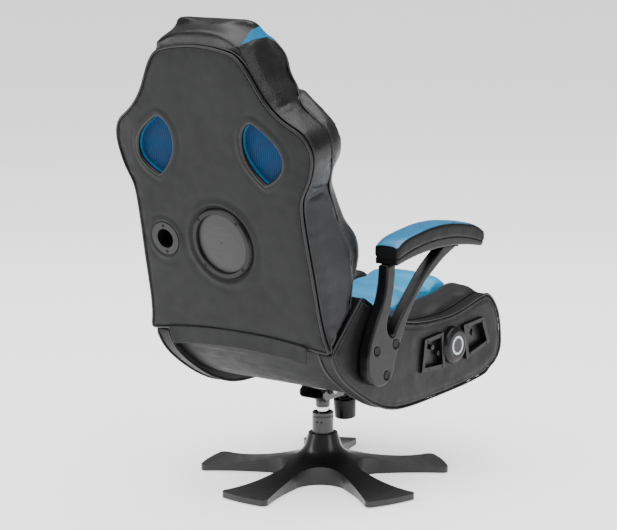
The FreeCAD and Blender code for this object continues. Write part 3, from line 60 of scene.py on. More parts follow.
# The back leans: its parts are worked on upright, with y = 0 at the rear face and z up that face.
LEAN = math.radians(11.87)
BACK = Matrix.Translation((0, 0.307, 0.380)) @ Matrix.Rotation(-LEAN, 4, "X")
UPRIGHT = BACK.inverted()

# The camera, fitted to the photograph: its place and its axes. In pixels: its focal length, and the
# middle and the width of the photograph.
EYE = Vector((-3.1833, 4.1472, 1.4816))
FORWARD = Vector((0.6031, -0.7763, -0.1837)).normalized()
LEVEL = Vector((-0.7897, -0.6135, 0.0)).normalized()
ROLL = Matrix.Rotation(math.radians(0.502), 3, FORWARD)
RIGHT, UP = ROLL @ LEVEL, ROLL @ LEVEL.cross(FORWARD)
FOCAL = 2300
MIDDLE = (308.5, 265)
PHOTO_WIDTH = 617

# Places on the back, upright, in metres: the middles of the speaker and the port, the neck, the
# height where the head begins, the front of its side walls and the low edge of its blue strip.
WOOFER = Vector((0, 0, 0.231))
PORT = Vector((0.165, 0, 0.227))
NECK = 0.566
HEAD_LOW = 0.60
HEAD_FRONT = -0.135
STRIP_LOW = 0.672
# Half widths of the head's covers: two on its front, and the glossy band's own behind them.
HEAD_SEAMS = (0.131, 0.151)
BAND_HALF = 0.1425
SEAM_SLOPE = 0.12
# The height above the floor where the smooth cover of the back's walls meets the pebbled one.
COVER_SEAM = 0.745
# Pixels of the photograph along the head's two seams, from the rear corner to the crest.
BAND_SEAM = ((232.4, 54.2), (241.8, 43.5), (251.2, 30.1), (260.5, 25.4))
STRIP_EDGE = ((241.8, 44.8), (253.8, 39.5), (267.2, 36.8), (273.9, 40.8), (280.0, 47.0))

# The control panel: the middle and radius of its hub, its own middle, and how deep its recesses begin.
HUB_Y, HUB_Z, HUB_RADIUS = -0.168, 0.318, 0.047
PANEL_Y = -0.178
RECESS_X = -0.2600

# The blue centre of the seat and the back: where its piping lies, and where rays find its height.
CENTRE_HALF = 0.1122
CENTRE_PROBE = 0.1065
PIPING_SINK = 0.001

# The arms: the round rim of the fork, how far the pad's top stands over the CAD pad, the points of
# its section and how square that is, its sections along the arm and the length of its rounded ends.
FORK_RIM = 0.0055
PAD_RISE = 0.009
PAD_SIDES = 44
PAD_SQUARENESS = 5.5
PAD_STATIONS = 52
PAD_END = 0.006

CLOTH_STEPS = 12
FLOOR_REACH = 40.0
FLOOR_GLOW = 1.15
WORLD_LIGHT, WORLD_SEEN = 0.30, 6.0


def pixel(point):
    """Where a world point falls in the photograph's frame."""
    away = point - EYE
    depth = away.dot(FORWARD)
    return MIDDLE[0] + FOCAL * away.dot(RIGHT) / depth, MIDDLE[1] - FOCAL * away.dot(UP) / depth


def sight(place):
    """The direction from the camera through a pixel of the photograph."""
    return FORWARD * FOCAL + RIGHT * (place[0] - MIDDLE[0]) - UP * (place[1] - MIDDLE[1])


# Materials
class Nodes:
    """A node material, built from the shader backwards."""

    def __init__(self, name, color, rough, metal=0.0, specular=0.5, **more):
        self.material = bpy.data.materials.new(name)
        self.material.use_nodes = True
        self.tree = self.material.node_tree
        self.shader = self.tree.nodes["Principled BSDF"]
        self.coords = self.tree.nodes.new("ShaderNodeTexCoord").outputs["Object"]
        self.color = color
        self.rough = rough
        self.bump = None
        self.put("Base Color", (*color, 1))
        self.put("Roughness", rough)
        self.put("Metallic", metal)
        self.put("Specular IOR Level", specular)
        for key, value in more.items():
            self.put(key.replace("_", " "), value)
        self.material.diffuse_color = (*color, 1)

    def put(self, socket, value):
        self.shader.inputs[socket].default_value = value

    def node(self, kind, links=(), **settings):
        node = self.tree.nodes.new("ShaderNode" + kind)
        for key, value in settings.items():
            if key in node.inputs:
                node.inputs[key].default_value = value
            elif key.replace("_", " ") in node.inputs:
                node.inputs[key.replace("_", " ")].default_value = value
            else:
                setattr(node, key, value)
        for socket, source in dict(links).items():
            self.tree.links.new(source, node.inputs[socket])
        return node

    def mapped(self, **settings):
        return self.node("Mapping", {"Vector": self.coords}, **settings).outputs["Vector"]

    def noise(self, scale, detail=2.0, stretch=None):
        source = self.mapped(Scale=stretch) if stretch else self.coords
        return self.node("TexNoise", {"Vector": source}, Scale=scale, Detail=detail).outputs["Fac"]

    def cells(self, scale, **settings):
        made = self.node("TexVoronoi", {"Vector": self.coords}, Scale=scale, **settings)
        return made.outputs["Distance"]

    def bands(self, scale, turn):
        source = self.mapped(Rotation=turn)
        return self.node("TexWave", {"Vector": source}, Scale=scale, wave_profile="SIN").outputs["Fac"]

    def product(self, one, two):
        node = self.node("Math", operation="MULTIPLY")
        self.tree.links.new(one, node.inputs[0])
        self.tree.links.new(two, node.inputs[1])
        return node.outputs[0]

    def tint(self, source, low, high, start=0.3, end=0.7):
        """Colour that runs between two multiples of the base colour, or two colours."""
        ramp = self.node("ValToRGB", {"Fac": source})
        for element, place, tone in zip(ramp.color_ramp.elements, (start, end), (low, high)):
            element.position = place
            mixed = tone if isinstance(tone, tuple) else tuple(min(1.0, part * tone) for part in self.color)
            element.color = (*mixed, 1)
        self.tree.links.new(ramp.outputs["Color"], self.shader.inputs["Base Color"])
        return self

    def vary_rough(self, source, spread):
        ranged = self.node("MapRange", {"Value": source}, From_Min=0.3, From_Max=0.7,
                           To_Min=self.rough - spread, To_Max=self.rough + spread)
        self.tree.links.new(ranged.outputs["Result"], self.shader.inputs["Roughness"])
        return self

    def relief(self, source, strength, distance):
        links = {"Height": source}
        if self.bump:
            links["Normal"] = self.bump
        self.bump = self.node("Bump", links, Strength=strength, Distance=distance).outputs["Normal"]
        self.tree.links.new(self.bump, self.shader.inputs["Normal"])
        return self


def leather(name, color, rough, grain, depth, crease=0.25, coat=0.0, spread=0.14, specular=0.38):
    made = Nodes(name, color, rough, specular=specular, Coat_Weight=coat, Coat_Roughness=0.32)
    made.tint(made.noise(9, 4), 1 - spread, 1 + spread)
    made.vary_rough(made.noise(34, 3), 0.06)
    made.relief(made.noise(16, 3), crease, 0.0035)
    made.relief(made.cells(grain, feature="SMOOTH_F1"), depth, 0.0009)
    made.relief(made.noise(grain * 2.4, 3), depth * 0.4, 0.0004)
    return made.material


def plastic(name, color, rough, grain=900.0, depth=0.12, spread=0.1, coat=0.0, specular=0.42):
    made = Nodes(name, color, rough, specular=specular, Coat_Weight=coat, Coat_Roughness=0.2)
    made.tint(made.noise(14, 4), 1 - spread, 1 + spread)
    made.vary_rough(made.noise(55, 4), 0.05)
    made.relief(made.noise(grain, 2), depth, 0.0003)
    return made.material


def metal(name, color, rough, stretch, scale, depth):
    made = Nodes(name, color, rough, metal=1.0)
    made.tint(made.noise(25, 3), 0.86, 1.1)
    made.vary_rough(made.noise(scale, 3, stretch), min(0.05, rough * 0.6))
    made.relief(made.noise(scale, 2, stretch), depth, 0.0002)
    return made.material


def woven(name, low, high, scale, rough=0.75):
    made = Nodes(name, high, rough, specular=0.2)
    one = made.bands(scale, (0.3, 0.7, 0.6))
    two = made.bands(scale, (-0.4, 2.2, 0.9))
    both = made.product(one, two)
    made.tint(both, low, high, 0.02, 0.6)
    made.relief(both, 0.7, 0.0012)
    return made.material


def plain(name, color, rough, scale, depth, spread=0.15, **more):
    made = Nodes(name, color, rough, **more)
    made.tint(made.noise(scale / 8, 4), 1 - spread, 1 + spread)
    made.relief(made.noise(scale, 3), depth, 0.0005)
    return made.material


def plywood():
    made = Nodes("ply", (0.52, 0.36, 0.20), 0.6)
    made.tint(made.noise(18, 6, (1, 12, 12)), 0.75, 1.1)
    made.relief(made.noise(60, 3, (1, 9, 9)), 0.2, 0.0005)
    return made.material


def glow():
    made = Nodes("ring_glow", (0.34, 0.37, 0.41), 0.35)
    made.put("Emission Strength", 0.35)
    made.put("Emission Color", (0.80, 0.93, 1.0, 1))
    made.tint(made.noise(120, 2), 0.9, 1.0)
    made.relief(made.noise(700, 2), 0.05, 0.0002)
    return made.material


def perforated(name, color, hole, scale):
    """A pressed metal or knitted grille: dark round holes in a regular field."""
    made = Nodes(name, color, 0.42, Coat_Weight=0.1)
    cells = made.cells(scale, Randomness=0.0)
    made.tint(cells, hole, color, 0.25, 0.42)
    made.relief(cells, 0.5, 0.0006)
    return made.material


MAT = {
    "slate": leather("slate_cover", (0.0088, 0.0092, 0.0094), 0.56, 620, 0.16,
                     crease=0.16, specular=0.24),
    "smooth": leather("smooth_gusset", (0.0105, 0.0109, 0.0128), 0.46, 560, 0.16,
                      crease=0.22, specular=0.3),
    "pebbled": leather("pebbled_gusset", (0.0050, 0.0050, 0.0054), 0.37, 300, 0.75,
                       crease=0.25, specular=0.34),
    "gloss": leather("gloss_cover", (0.0022, 0.0022, 0.0023), 0.32, 520, 0.22,
                     crease=0.2, coat=0.08, specular=0.3),
    "black": leather("black_cover", (0.0080, 0.0080, 0.0088), 0.36, 430, 0.38, crease=0.3, coat=0.1),
    "panel": leather("side_cover", (0.0048, 0.0048, 0.0055), 0.46, 420, 0.30, crease=0.18, specular=0.22),
    "blue": leather("blue_cover", (0.014, 0.235, 0.44), 0.36, 430, 0.35, crease=0.3, coat=0.12),
    "arm_blue": leather("arm_blue", (0.002, 0.155, 0.340), 0.30, 480, 0.25, crease=0.22, coat=0.15),
    "arm_side": leather("arm_side", (0.0042, 0.0045, 0.0050), 0.48, 420, 0.4, crease=0.4, specular=0.2),
    "piping": leather("piping", (0.0035, 0.0035, 0.0040), 0.34, 900, 0.1, crease=0.1),
    "thread": plain("thread", (0.10, 0.10, 0.105), 0.6, 2400, 0.4),
    "dark_thread": plain("dark_thread", (0.004, 0.004, 0.0045), 0.6, 2400, 0.4),
    # The blue mesh comes in two copies. The bright one is partly painted light, for the vents' rims where the
    # mesh faces the lamps, and partly the mesh lying over foam; the head's blue strip takes it too. The dark
    # one is partly painted shade, for the vents' deep middles, and partly the dark foam seen through the
    # mesh.
    "mesh_bright_lit": woven("bright_lit_mesh", (0.002, 0.085, 0.20), (0.005, 0.260, 0.52), 165),
    "mesh_dark_shaded": woven("dark_shaded_mesh", (0.0006, 0.014, 0.050), (0.001, 0.062, 0.165), 150),
    "base": plastic("base_moulding", (0.0105, 0.0107, 0.012), 0.34, 700, 0.14, coat=0.1),
    "moulded": plastic("black_moulding", (0.0032, 0.0032, 0.0032), 0.36, 900, 0.16, specular=0.28),
    "dark": plastic("dark_moulding", (0.0050, 0.0050, 0.0055), 0.42, 1200, 0.1),
    # The bezel's lighter grey is painted light, for the lit rims of the control frames' bevels.
    "bezel": plastic("lit_bezel_moulding", (0.0300, 0.0310, 0.0350), 0.33, 1100, 0.14, coat=0.1),
    "chrome": metal("chrome_plate", (0.62, 0.63, 0.65), 0.08, (1, 1, 0.05), 500, 0.02),
    "steel": metal("zinc_steel", (0.30, 0.31, 0.33), 0.34, (1, 1, 1), 320, 0.1),
    "paint": plain("black_paint", (0.0060, 0.0060, 0.0066), 0.28, 420, 0.16,
                   Coat_Weight=0.3, Coat_Roughness=0.18),
    "screw": metal("dark_screw_metal", (0.016, 0.016, 0.018), 0.42, (1, 1, 1), 700, 0.08),
    "rubber": plain("rubber", (0.008, 0.008, 0.0085), 0.72, 900, 0.3),
    "nylon": plain("nylon", (0.40, 0.39, 0.36), 0.5, 700, 0.1),
    "ply": plywood(),
    "lining": woven("lining_cloth", (0.010, 0.0105, 0.0115), (0.024, 0.0245, 0.0265), 420, 0.8),
    "glow": glow(),
    "lens": plain("dark_lens", (0.010, 0.006, 0.005), 0.16, 900, 0.02,
                  specular=0.25, Coat_Weight=0.1, Coat_Roughness=0.05),
    "grille": perforated("grille_mesh", (0.0060, 0.0062, 0.0066), (0.0008, 0.0008, 0.0008), 330),
}
FOR_SLOT = {"base_plastic": "base", "rubber": "rubber", "nylon": "nylon", "black_steel": "paint",
            "dark_screw": "screw", "chrome": "chrome", "steel": "steel", "black_plastic": "moulded",
            "dark_plastic": "dark", "lining": "lining", "plywood": "ply", "black_leather": "black",
            "pebbled_leather": "panel", "blue_leather": "blue", "blue_mesh": "mesh_dark_shaded",
            "light_ring": "glow", "lens": "lens"}


# Making pieces
def dress(obj, *keys):
    obj.data.materials.clear()
    for key in keys:
        obj.data.materials.append(MAT[key])
    return obj


def link(name, data):
    obj = bpy.data.objects.new(name, data)
    bpy.context.scene.collection.objects.link(obj)
    return obj


def bake(obj):
    graph = bpy.context.evaluated_depsgraph_get()
    data = bpy.data.meshes.new_from_object(obj.evaluated_get(graph))
    obj.modifiers.clear()
    obj.data = data
    return obj


def cad_copy(node, name, *more):
    """A merged copy of one or more CAD nodes' meshes."""
    work = bmesh.new()
    for source in (node, *more):
        work.from_mesh(NODES[source].data)
    bmesh.ops.remove_doubles(work, verts=work.verts, dist=1e-5)
    data = bpy.data.meshes.new(name)
    work.to_mesh(data)
    work.free()
    return link(name, data)


def shade(obj):
    obj.data.polygons.foreach_set("use_smooth", [True] * len(obj.data.polygons))
    return obj


def modify(obj, kind, **settings):
    modifier = obj.modifiers.new(kind.lower(), kind)
    for key, value in settings.items():
        setattr(modifier, key, value)
    return obj


def remesh(obj, size, rounds):
    modify(obj, "REMESH", mode="VOXEL", voxel_size=size, use_smooth_shade=True)
    modify(obj, "SMOOTH", factor=0.5, iterations=rounds)
    return shade(bake(obj))


def soften(obj, rounds, weigh):
    """Relaxes a piece where weigh(points) says, from 0 to 1."""
    group = obj.vertex_groups.new(name="soft")
    for index, weight in enumerate(weigh(points_of(obj))):
        if weight > 0.01:
            group.add([index], float(weight), "REPLACE")
    modify(obj, "SMOOTH", factor=0.5, iterations=rounds, vertex_group="soft")
    bake(obj)
    obj.vertex_groups.clear()
    return obj


def read_vertices(obj, key):
    found = np.empty(len(obj.data.vertices) * 3)
    obj.data.vertices.foreach_get(key, found)
    return found.reshape(-1, 3)


def points_of(obj):
    return read_vertices(obj, "co")


def normals_of(obj):
    return read_vertices(obj, "normal")


def set_points(obj, points):
    obj.data.vertices.foreach_set("co", np.ascontiguousarray(points, dtype=float).ravel())
    obj.data.update()


def inflate(obj, cap, pressure, inset):
    """Lets the cover swell like a stuffed bag, no point further than the cap from where it was."""
    before = points_of(obj)
    set_points(obj, before - normals_of(obj) * inset)
    cloth = obj.modifiers.new("cloth", "CLOTH")
    cloth.settings.quality = 3
    cloth.settings.use_pressure = True
    cloth.settings.uniform_pressure_force = pressure
    cloth.settings.effector_weights.gravity = 0
    cloth.settings.tension_stiffness = 18
    cloth.settings.compression_stiffness = 18
    cloth.settings.bending_stiffness = 0.6
    cloth.collision_settings.use_collision = False
    cloth.collision_settings.use_self_collision = False
    cloth.point_cache.frame_end = CLOTH_STEPS
    scene = bpy.context.scene
    for step in range(1, CLOTH_STEPS + 1):
        scene.frame_set(step)
    graph = bpy.context.evaluated_depsgraph_get()
    move = points_of(obj.evaluated_get(graph)) - before
    obj.modifiers.clear()
    length = np.linalg.norm(move, axis=1, keepdims=True)
    move *= np.minimum(1, cap / np.maximum(length, 1e-9))
    set_points(obj, before + move)
    scene.frame_set(1)
    return obj


def place(obj, *nodes):
    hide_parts(*nodes)
    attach(obj, BODY[nodes[0]])
    return obj


def extra(obj, body):
    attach(obj, body)
    return obj


def hard(node, width=0.0012, segments=3, angle=32, name=None, material=None):
    """A CAD part with its sharp edges rounded as moulded or pressed ones are."""
    obj = cad_copy(node, name or node + "_piece")
    modify(obj, "DECIMATE", decimate_type="DISSOLVE", angle_limit=math.radians(1.5))
    modify(obj, "BEVEL", width=width, segments=segments, limit_method="ANGLE",
           angle_limit=math.radians(angle), use_clamp_overlap=True, harden_normals=False)
    modify(obj, "WEIGHTED_NORMAL", keep_sharp=False, weight=60)
    shade(obj)
    bake(obj)
    shade(obj)
    dress(obj, material or FOR_SLOT[SLOT[node]])
    return place(obj, node)


def moulded(node, voxel, rounds, material, name):
    """A CAD part remeshed and relaxed, for castings whose every edge is soft."""
    obj = remesh(cad_copy(node, name), voxel, rounds)
    dress(obj, material)
    return place(obj, node)


def add_spline(data, points, closed):
    spline = data.splines.new("POLY")
    spline.points.add(len(points) - 1)
    for target, point in zip(spline.points, points):
        target.co = (*point, 1)
    spline.use_cyclic_u = closed
    return spline


def tube(name, points, radius, material, body, closed=False, sides=2):
    """Piping or a seam along a line in the world."""
    data = bpy.data.curves.new(name, "CURVE")
    data.dimensions = "3D"
    data.bevel_depth = radius
    data.bevel_resolution = sides
    data.use_fill_caps = not closed
    add_spline(data, points, closed).use_smooth = True
    data.materials.append(MAT[material])
    return extra(link(name, data), body)


def resample(points, step, closed=False):
    points = [Vector(point) for point in points]
    if closed:
        points.append(points[0])
    lengths = [0.0]
    for one, two in zip(points, points[1:]):
        lengths.append(lengths[-1] + (two - one).length)
    count = max(2, round(lengths[-1] / step))
    found, index = [], 0
    for number in range(count if closed else count + 1):
        want = lengths[-1] * number / count
        while index < len(lengths) - 2 and lengths[index + 1] < want:
            index += 1
        span = lengths[index + 1] - lengths[index]
        share = (want - lengths[index]) / span if span > 1e-12 else 0
        found.append(points[index].lerp(points[index + 1], share))
    return found


def relaxed(points, rounds, closed=True):
    points = [Vector(point) for point in points]
    last = len(points)
    for _ in range(rounds):
        middle = [(points[(index - 1) % last] + points[index] * 2 + points[(index + 1) % last]) / 4
                  for index in range(last)]
        if not closed:
            middle[0], middle[-1] = points[0], points[-1]
        points = middle
    return points


def stitches(name, points, material, body, length=0.0042, gap=0.0030, radius=0.00045):
    """One mesh of short thread dashes laid along a line."""
    work = bmesh.new()
    path = resample(points, length + gap)
    for one, two in zip(path, path[1:]):
        along = (two - one).normalized()
        end = one + along * length
        side = along.orthogonal().normalized()
        other = along.cross(side)
        rings = []
        for spot, size in ((one, 0.4), (one.lerp(end, 0.2), 1), (one.lerp(end, 0.8), 1), (end, 0.4)):
            spokes = [side * math.cos(turn) + other * math.sin(turn) for turn in (0.0, 1.571, 3.142, 4.712)]
            rings.append([work.verts.new(spot + spoke * radius * size) for spoke in spokes])
        for first, second in zip(rings, rings[1:]):
            bridge(work, first, second)
        work.faces.new(rings[0][::-1])
        work.faces.new(rings[-1])
    return extra(shade(link(name, mesh_from(work, name, material))), body)


def bridge(work, one, two):
    """Faces between two closed rings of the same count."""
    count = len(one)
    return [work.faces.new((one[index], one[(index + 1) % count], two[(index + 1) % count], two[index]))
            for index in range(count)]


def mesh_from(work, name, *materials):
    data = bpy.data.meshes.new(name)
    work.to_mesh(data)
    work.free()
    for key in materials:
        data.materials.append(MAT[key])
    return data


def face_loops(node, transform, accept):
    """Closed boundary lines of the faces that accept(normal, centre) takes, longest first."""
    work = bmesh.new()
    work.from_mesh(NODES[node].data)
    bmesh.ops.transform(work, matrix=transform, verts=work.verts)
    bmesh.ops.remove_doubles(work, verts=work.verts, dist=2e-5)
    work.normal_update()
    chosen = [face for face in work.faces if accept(face.normal, face.calc_center_median())]
    taken = set(chosen)
    after = {}
    for face in chosen:
        for loop in face.loops:
            inside = sum(1 for other in loop.edge.link_faces if other in taken)
            if inside == 1:
                after.setdefault(loop.vert, []).append(loop.link_loop_next.vert)
    loops = []
    while after:
        start = next(iter(after))
        line, here = [], start
        while here in after:
            line.append(here.co.copy())
            steps = after[here]
            step = steps.pop()
            if not steps:
                del after[here]
            here = step
        loops.append(line)
    work.free()

    def length(line):
        return sum((two - one).length for one, two in zip(line, line[1:] + line[:1]))
    return sorted(loops, key=length, reverse=True)


def split(obj, matrix, planes):
    """Cuts clean edges into a mesh along planes, so that covers can change there."""
    work = bmesh.new()
    work.from_mesh(obj.data)
    for point, normal in planes:
        geometry = work.verts[:] + work.edges[:] + work.faces[:]
        bmesh.ops.bisect_plane(work, geom=geometry, plane_co=matrix @ Vector(point),
                               plane_no=matrix.to_3x3() @ Vector(normal))
    work.to_mesh(obj.data)
    work.free()
    return obj


def smoothstep(value, low, high):
    """0 below low, 1 above high, and a smooth rise between them."""
    share = np.clip((value - low) / (high - low), 0, 1)
    return share * share * (3 - 2 * share)


def hump(value, centre, width):
    """1 at the centre and nearly 0 two widths away."""
    return np.exp(-((value - centre) / width) ** 2)


def lumps(points, scale, seed):
    """Smooth noise at each point, about -1 to 1."""
    shift = Vector((seed * 3.1, seed * 7.7, seed * 1.3))
    return np.array([noise.noise(Vector(point) * scale + shift) for point in points])


def ripples(along, scale, row, layer):
    """Smooth noise at each length along a line."""
    return np.array([noise.noise(Vector((value * scale, row, layer))) for value in along])


def wing(points):
    """The wings of the back curve forward at their edges."""
    points = np.asarray(points, dtype=float).copy()
    side = smoothstep(np.abs(points[:, 0]), 0.185, 0.275)
    near = np.clip(1 + points[:, 1] / 0.075, 0, 1)
    points[:, 1] -= 0.011 * side * hump(points[:, 2], 0.452, 0.085) * near
    return points


def crest(points):
    """Fills out the sides of the head's rear shoulder, so that its crest is level."""
    across = np.minimum(np.abs(points[:, 0]), 0.165)
    rise = smoothstep(points[:, 2], 0.585, 0.668) * smoothstep(-points[:, 1], -0.002, 0.058)
    rise *= smoothstep(points[:, 1], -0.125, -0.070)
    points[:, 2] += 0.026 * (across / 0.157) ** 2 * rise
    return points


def neck(points, amount):
    """Fills the neck where the head pad meets the bolsters."""
    side = smoothstep(np.abs(points[:, 0]), 0.08, 0.15)
    points[:, 1] -= amount * hump(points[:, 2], NECK, 0.030) * side * smoothstep(-points[:, 1], 0.05, 0.10)
    return points


def moved(points, matrix):
    matrix = np.array(matrix)
    return np.asarray(points) @ matrix[:3, :3].T + matrix[:3, 3]


def leaned(points):
    return moved(points, BACK)


def upright(points):
    return moved(points, UPRIGHT)


def in_back(points):
    """Upright points of the back, bent with its wings and leaned."""
    return [Vector(point) for point in leaned(wing(points))]


def back_shape(obj, change):
    """Runs change(points, normals) on a piece's points in the upright frame."""
    points, normals = upright(points_of(obj)), normals_of(obj) @ np.array(UPRIGHT)[:3, :3].T
    set_points(obj, leaned(wing(change(points, normals))))
    return obj


def nearest(lines):
    """A function that gives each point's distance to a set of lines, and how far along it lies."""
    spots, along = [], []
    for line in lines:
        total = 0.0
        for one, two in zip(line, line[1:] + line[:1]):
            spots.append(one)
            along.append(total)
            total += (two - one).length
    tree = kdtree.KDTree(len(spots))
    for index, spot in enumerate(spots):
        tree.insert((spot[0], 0, spot[2]), index)
    tree.balance()

    def measure(points):
        found = [tree.find((point[0], 0, point[2])) for point in points]
        return np.array([item[2] for item in found]), np.array([along[item[1]] for item in found])
    return measure


def side_name(side):
    return "left" if side > 0 else "right"


def shifted(line, out, depth, across=0):
    """A closed line moved outward in its own plane, at a depth. Across is 0 behind the back, 1 at a side."""
    found = []
    for index, point in enumerate(line):
        run = (line[(index + 1) % len(line)] - line[index - 1]).normalized()
        spot, normal = Vector((depth, depth, point.z)), Vector((0, 0, -run[across]))
        spot[across], normal[across] = point[across], run.z
        found.append(spot + normal * out)
    return found


def outward(line, across=0):
    """1 or -1, the sign that makes a closed line grow when it is shifted."""
    area = sum(one[across] * two.z - two[across] * one.z for one, two in zip(line, line[1:] + line[:1]))
    return 1 if area > 0 else -1


# The covers of the CAD parts that stay
for node_name, node_object in NODES.items():
    for slot in node_object.material_slots:
        slot.material = MAT["grille" if node_name == "speaker_grille" else FOR_SLOT[SLOT[node_name]]]


# The back's rear cover and its vents
def rear_lines():
    """The outline of the rear panel, and those of its two vents, the left one first."""
    found = face_loops("back_panel", UPRIGHT, lambda normal, centre: normal.y > 0.9 and centre.y > -0.002)
    openings = [line for line in found[1:] if len(line) > 8][:4]
    upper = [line for line in openings if sum(point.z for point in line) / len(line) > 0.35]
    sides = [line for line in upper if abs(sum(point.x for point in line) / len(line)) > 0.1]
    sides.sort(key=lambda line: sum(point.x for point in line), reverse=True)
    return relaxed(resample(found[0], 0.006, True), 2), sides


outline, vents = rear_lines()


def make_rear_cover():
    cover = remesh(cad_copy("back_panel", "rear_cover"), 0.0040, 3)
    outer = nearest([outline])
    holes = nearest([resample(line, 0.005, True) for line in vents])

    def change(points, normals):
        rear = smoothstep(points[:, 1], -0.009, -0.002)
        gap, along = outer(points)
        vent_gap = holes(points)[0]
        height = points[:, 2]
        pillow = 0.0030 * (1 - np.exp(-gap / 0.020)) - 0.0018 * np.exp(-gap / 0.006)
        tight = 0.35 + 0.9 * hump(height, 0.43, 0.10) + 0.5 * hump(height, 0.62, 0.05)
        waves = ripples(along, 75, 0.3, 2.0) * 0.0011 + ripples(along, 160, 5.3, 1.0) * 0.0006
        pucker = waves * tight * hump(gap, 0.010, 0.013)
        rim = 0.0016 * hump(vent_gap, 0.009, 0.006) - 0.0012 * hump(vent_gap, 0.018, 0.005)
        disc = np.hypot(points[:, 0] - WOOFER.x, height - WOOFER.z)
        ring = 0.0022 * hump(disc, 0.093, 0.007) - 0.0012 * hump(disc, 0.108, 0.008)
        small = np.hypot(points[:, 0] - PORT.x, height - PORT.z)
        ring += 0.0016 * hump(small, 0.045, 0.005) - 0.001 * hump(small, 0.056, 0.006)
        soft = lumps(points, 7.5, 1) * 0.0011 + lumps(points * np.array([1.0, 0.2, 2.6]), 13, 2) * 0.0005
        bare = smoothstep(disc, 0.084, 0.092) * smoothstep(small, 0.037, 0.043)
        points[:, 1] += rear * bare * (pillow + pucker + rim + soft + ring)
        return points
    back_shape(cover, change)
    dress(shade(cover), "slate")
    place(cover, "back_panel")


def make_back_piping():
    sense = outward(outline)
    for number, out, depth, radius in ((1, 0.0000, -0.0015, 0.0030), (2, 0.0016, -0.0115, 0.0028)):
        line = relaxed(shifted(outline, sense * out, depth), 1)
        tube(f"back_piping_{number}", in_back(line), radius, "piping", "backrest", closed=True)
    inner = relaxed(shifted(outline, -sense * 0.0058, 0.0002), 2)
    tube("back_seam", in_back(inner), 0.0006, "dark_thread", "backrest", closed=True, sides=1)


# The dish of a vent's mesh: shares of its outline and their depths, from the rim to the middle.
DISH = ((1.00, 0.0005), (0.985, -0.0060), (0.965, -0.0112), (0.92, -0.0120), (0.80, -0.0122),
        (0.6, -0.0118), (0.3, -0.0112))
DISH_MIDDLE = -0.0110
# The outer rings of each dish take the bright copy of the mesh, painted light on the rim; the inner rings and
# the middle take the dark copy, painted shade in the deep part.
LIT_RINGS = 2


def make_vents():
    """A padded border, a seam and a dished mesh for each vent; returns the meshes."""
    meshes = []
    for line in vents:
        name = side_name(sum(point.x for point in line))
        line = resample(line, 0.004, True)
        sense = outward(line)
        tube(f"vent_border_{name}", in_back(shifted(line, sense * 0.0028, -0.0012)), 0.0052, "piping",
             "backrest", closed=True, sides=3)
        tube(f"vent_seam_{name}", in_back(shifted(line, sense * 0.0095, 0.0013)), 0.0007, "dark_thread",
             "backrest", closed=True, sides=1)
        centre = sum(line, Vector()) / len(line)
        work = bmesh.new()
        rings = []
        for share, depth in DISH:
            spots = [Vector((centre.x + (p.x - centre.x) * share, depth, centre.z + (p.z - centre.z) * share))
                     for p in line]
            rings.append([work.verts.new(spot) for spot in in_back(spots)])
        middle = work.verts.new(in_back([Vector((centre.x, DISH_MIDDLE, centre.z))])[0])
        # Rim faces get the bright copy with painted light, deeper faces the dark copy with painted shade.
        for number, (one, two) in enumerate(zip(rings, rings[1:])):
            for face in bridge(work, one, two):
                face.material_index = 0 if number < LIT_RINGS else 1
        for one, two in zip(rings[-1], rings[-1][1:] + rings[-1][:1]):
            work.faces.new((one, two, middle)).material_index = 1
        bmesh.ops.recalc_face_normals(work, faces=work.faces)
        piece = f"vent_mesh_{name}"
        obj = shade(link(piece, mesh_from(work, piece, "mesh_bright_lit", "mesh_dark_shaded")))
        meshes.append(extra(obj, "backrest"))
    return meshes


# The back's gusset and head, in one skin
# Its covers, in the order of its materials
PEBBLED, SMOOTH, BAND, STRIP = range(4)


def seam_cuts():
    """Planes through the camera and each run of the two seams, and their mirror images."""
    for line in (BAND_SEAM, STRIP_EDGE):
        for one, two in zip(line, line[1:]):
            normal = sight(one).cross(sight(two)).normalized()
            yield EYE, normal
            yield Vector((-EYE.x, EYE.y, EYE.z)), Vector((-normal.x, normal.y, normal.z))


def head_cover(centre, normal):
    """Which cover a face of the head has: the glossy band, the blue strip or the pebbled sides."""
    spot = UPRIGHT @ centre
    if spot.y < HEAD_FRONT and (normal.y < -0.45 or spot.z > STRIP_LOW):
        return BAND if abs(spot.x) < HEAD_SEAMS[0] else STRIP if abs(spot.x) < HEAD_SEAMS[1] else PEBBLED
    u, v = pixel(Vector((-abs(centre.x), centre.y, centre.z)))
    seam = np.interp(-v, [-place[1] for place in BAND_SEAM], [place[0] for place in BAND_SEAM])
    if u < seam:
        return BAND if abs(spot.x) < BAND_HALF else PEBBLED
    edge = np.interp(u, [place[0] for place in STRIP_EDGE], [place[1] for place in STRIP_EDGE])
    return STRIP if v < edge and u > STRIP_EDGE[0][0] else PEBBLED


def seam_side(points):
    """How far outside the seam of the glossy top band each upright point lies."""
    return np.abs(points[:, 0]) - (BAND_HALF + np.clip(points[:, 1], -0.09, 0) * SEAM_SLOPE)


def cover_gusset(core):
    """Cuts the seams between the covers into the gusset and gives each face its cover."""
    cuts = [((side * place, 0, 0), (1, 0, 0)) for side in (-1, 1) for place in (*HEAD_SEAMS, BAND_HALF)]
    cuts.append(((0, HEAD_FRONT, 0), (0, 1, 0)))
    split(core, BACK, cuts)
    split(core, Matrix(), [((0, 0, COVER_SEAM), (0, 0, 1)), *seam_cuts()])
    dress(core, "pebbled", "smooth", "gloss", "mesh_bright_lit")
    for face in core.data.polygons:
        if (UPRIGHT @ face.center).z > HEAD_LOW:
            face.material_index = head_cover(face.center, face.normal)
        else:
            face.material_index = SMOOTH if face.center.z < COVER_SEAM else PEBBLED
    shade(core)


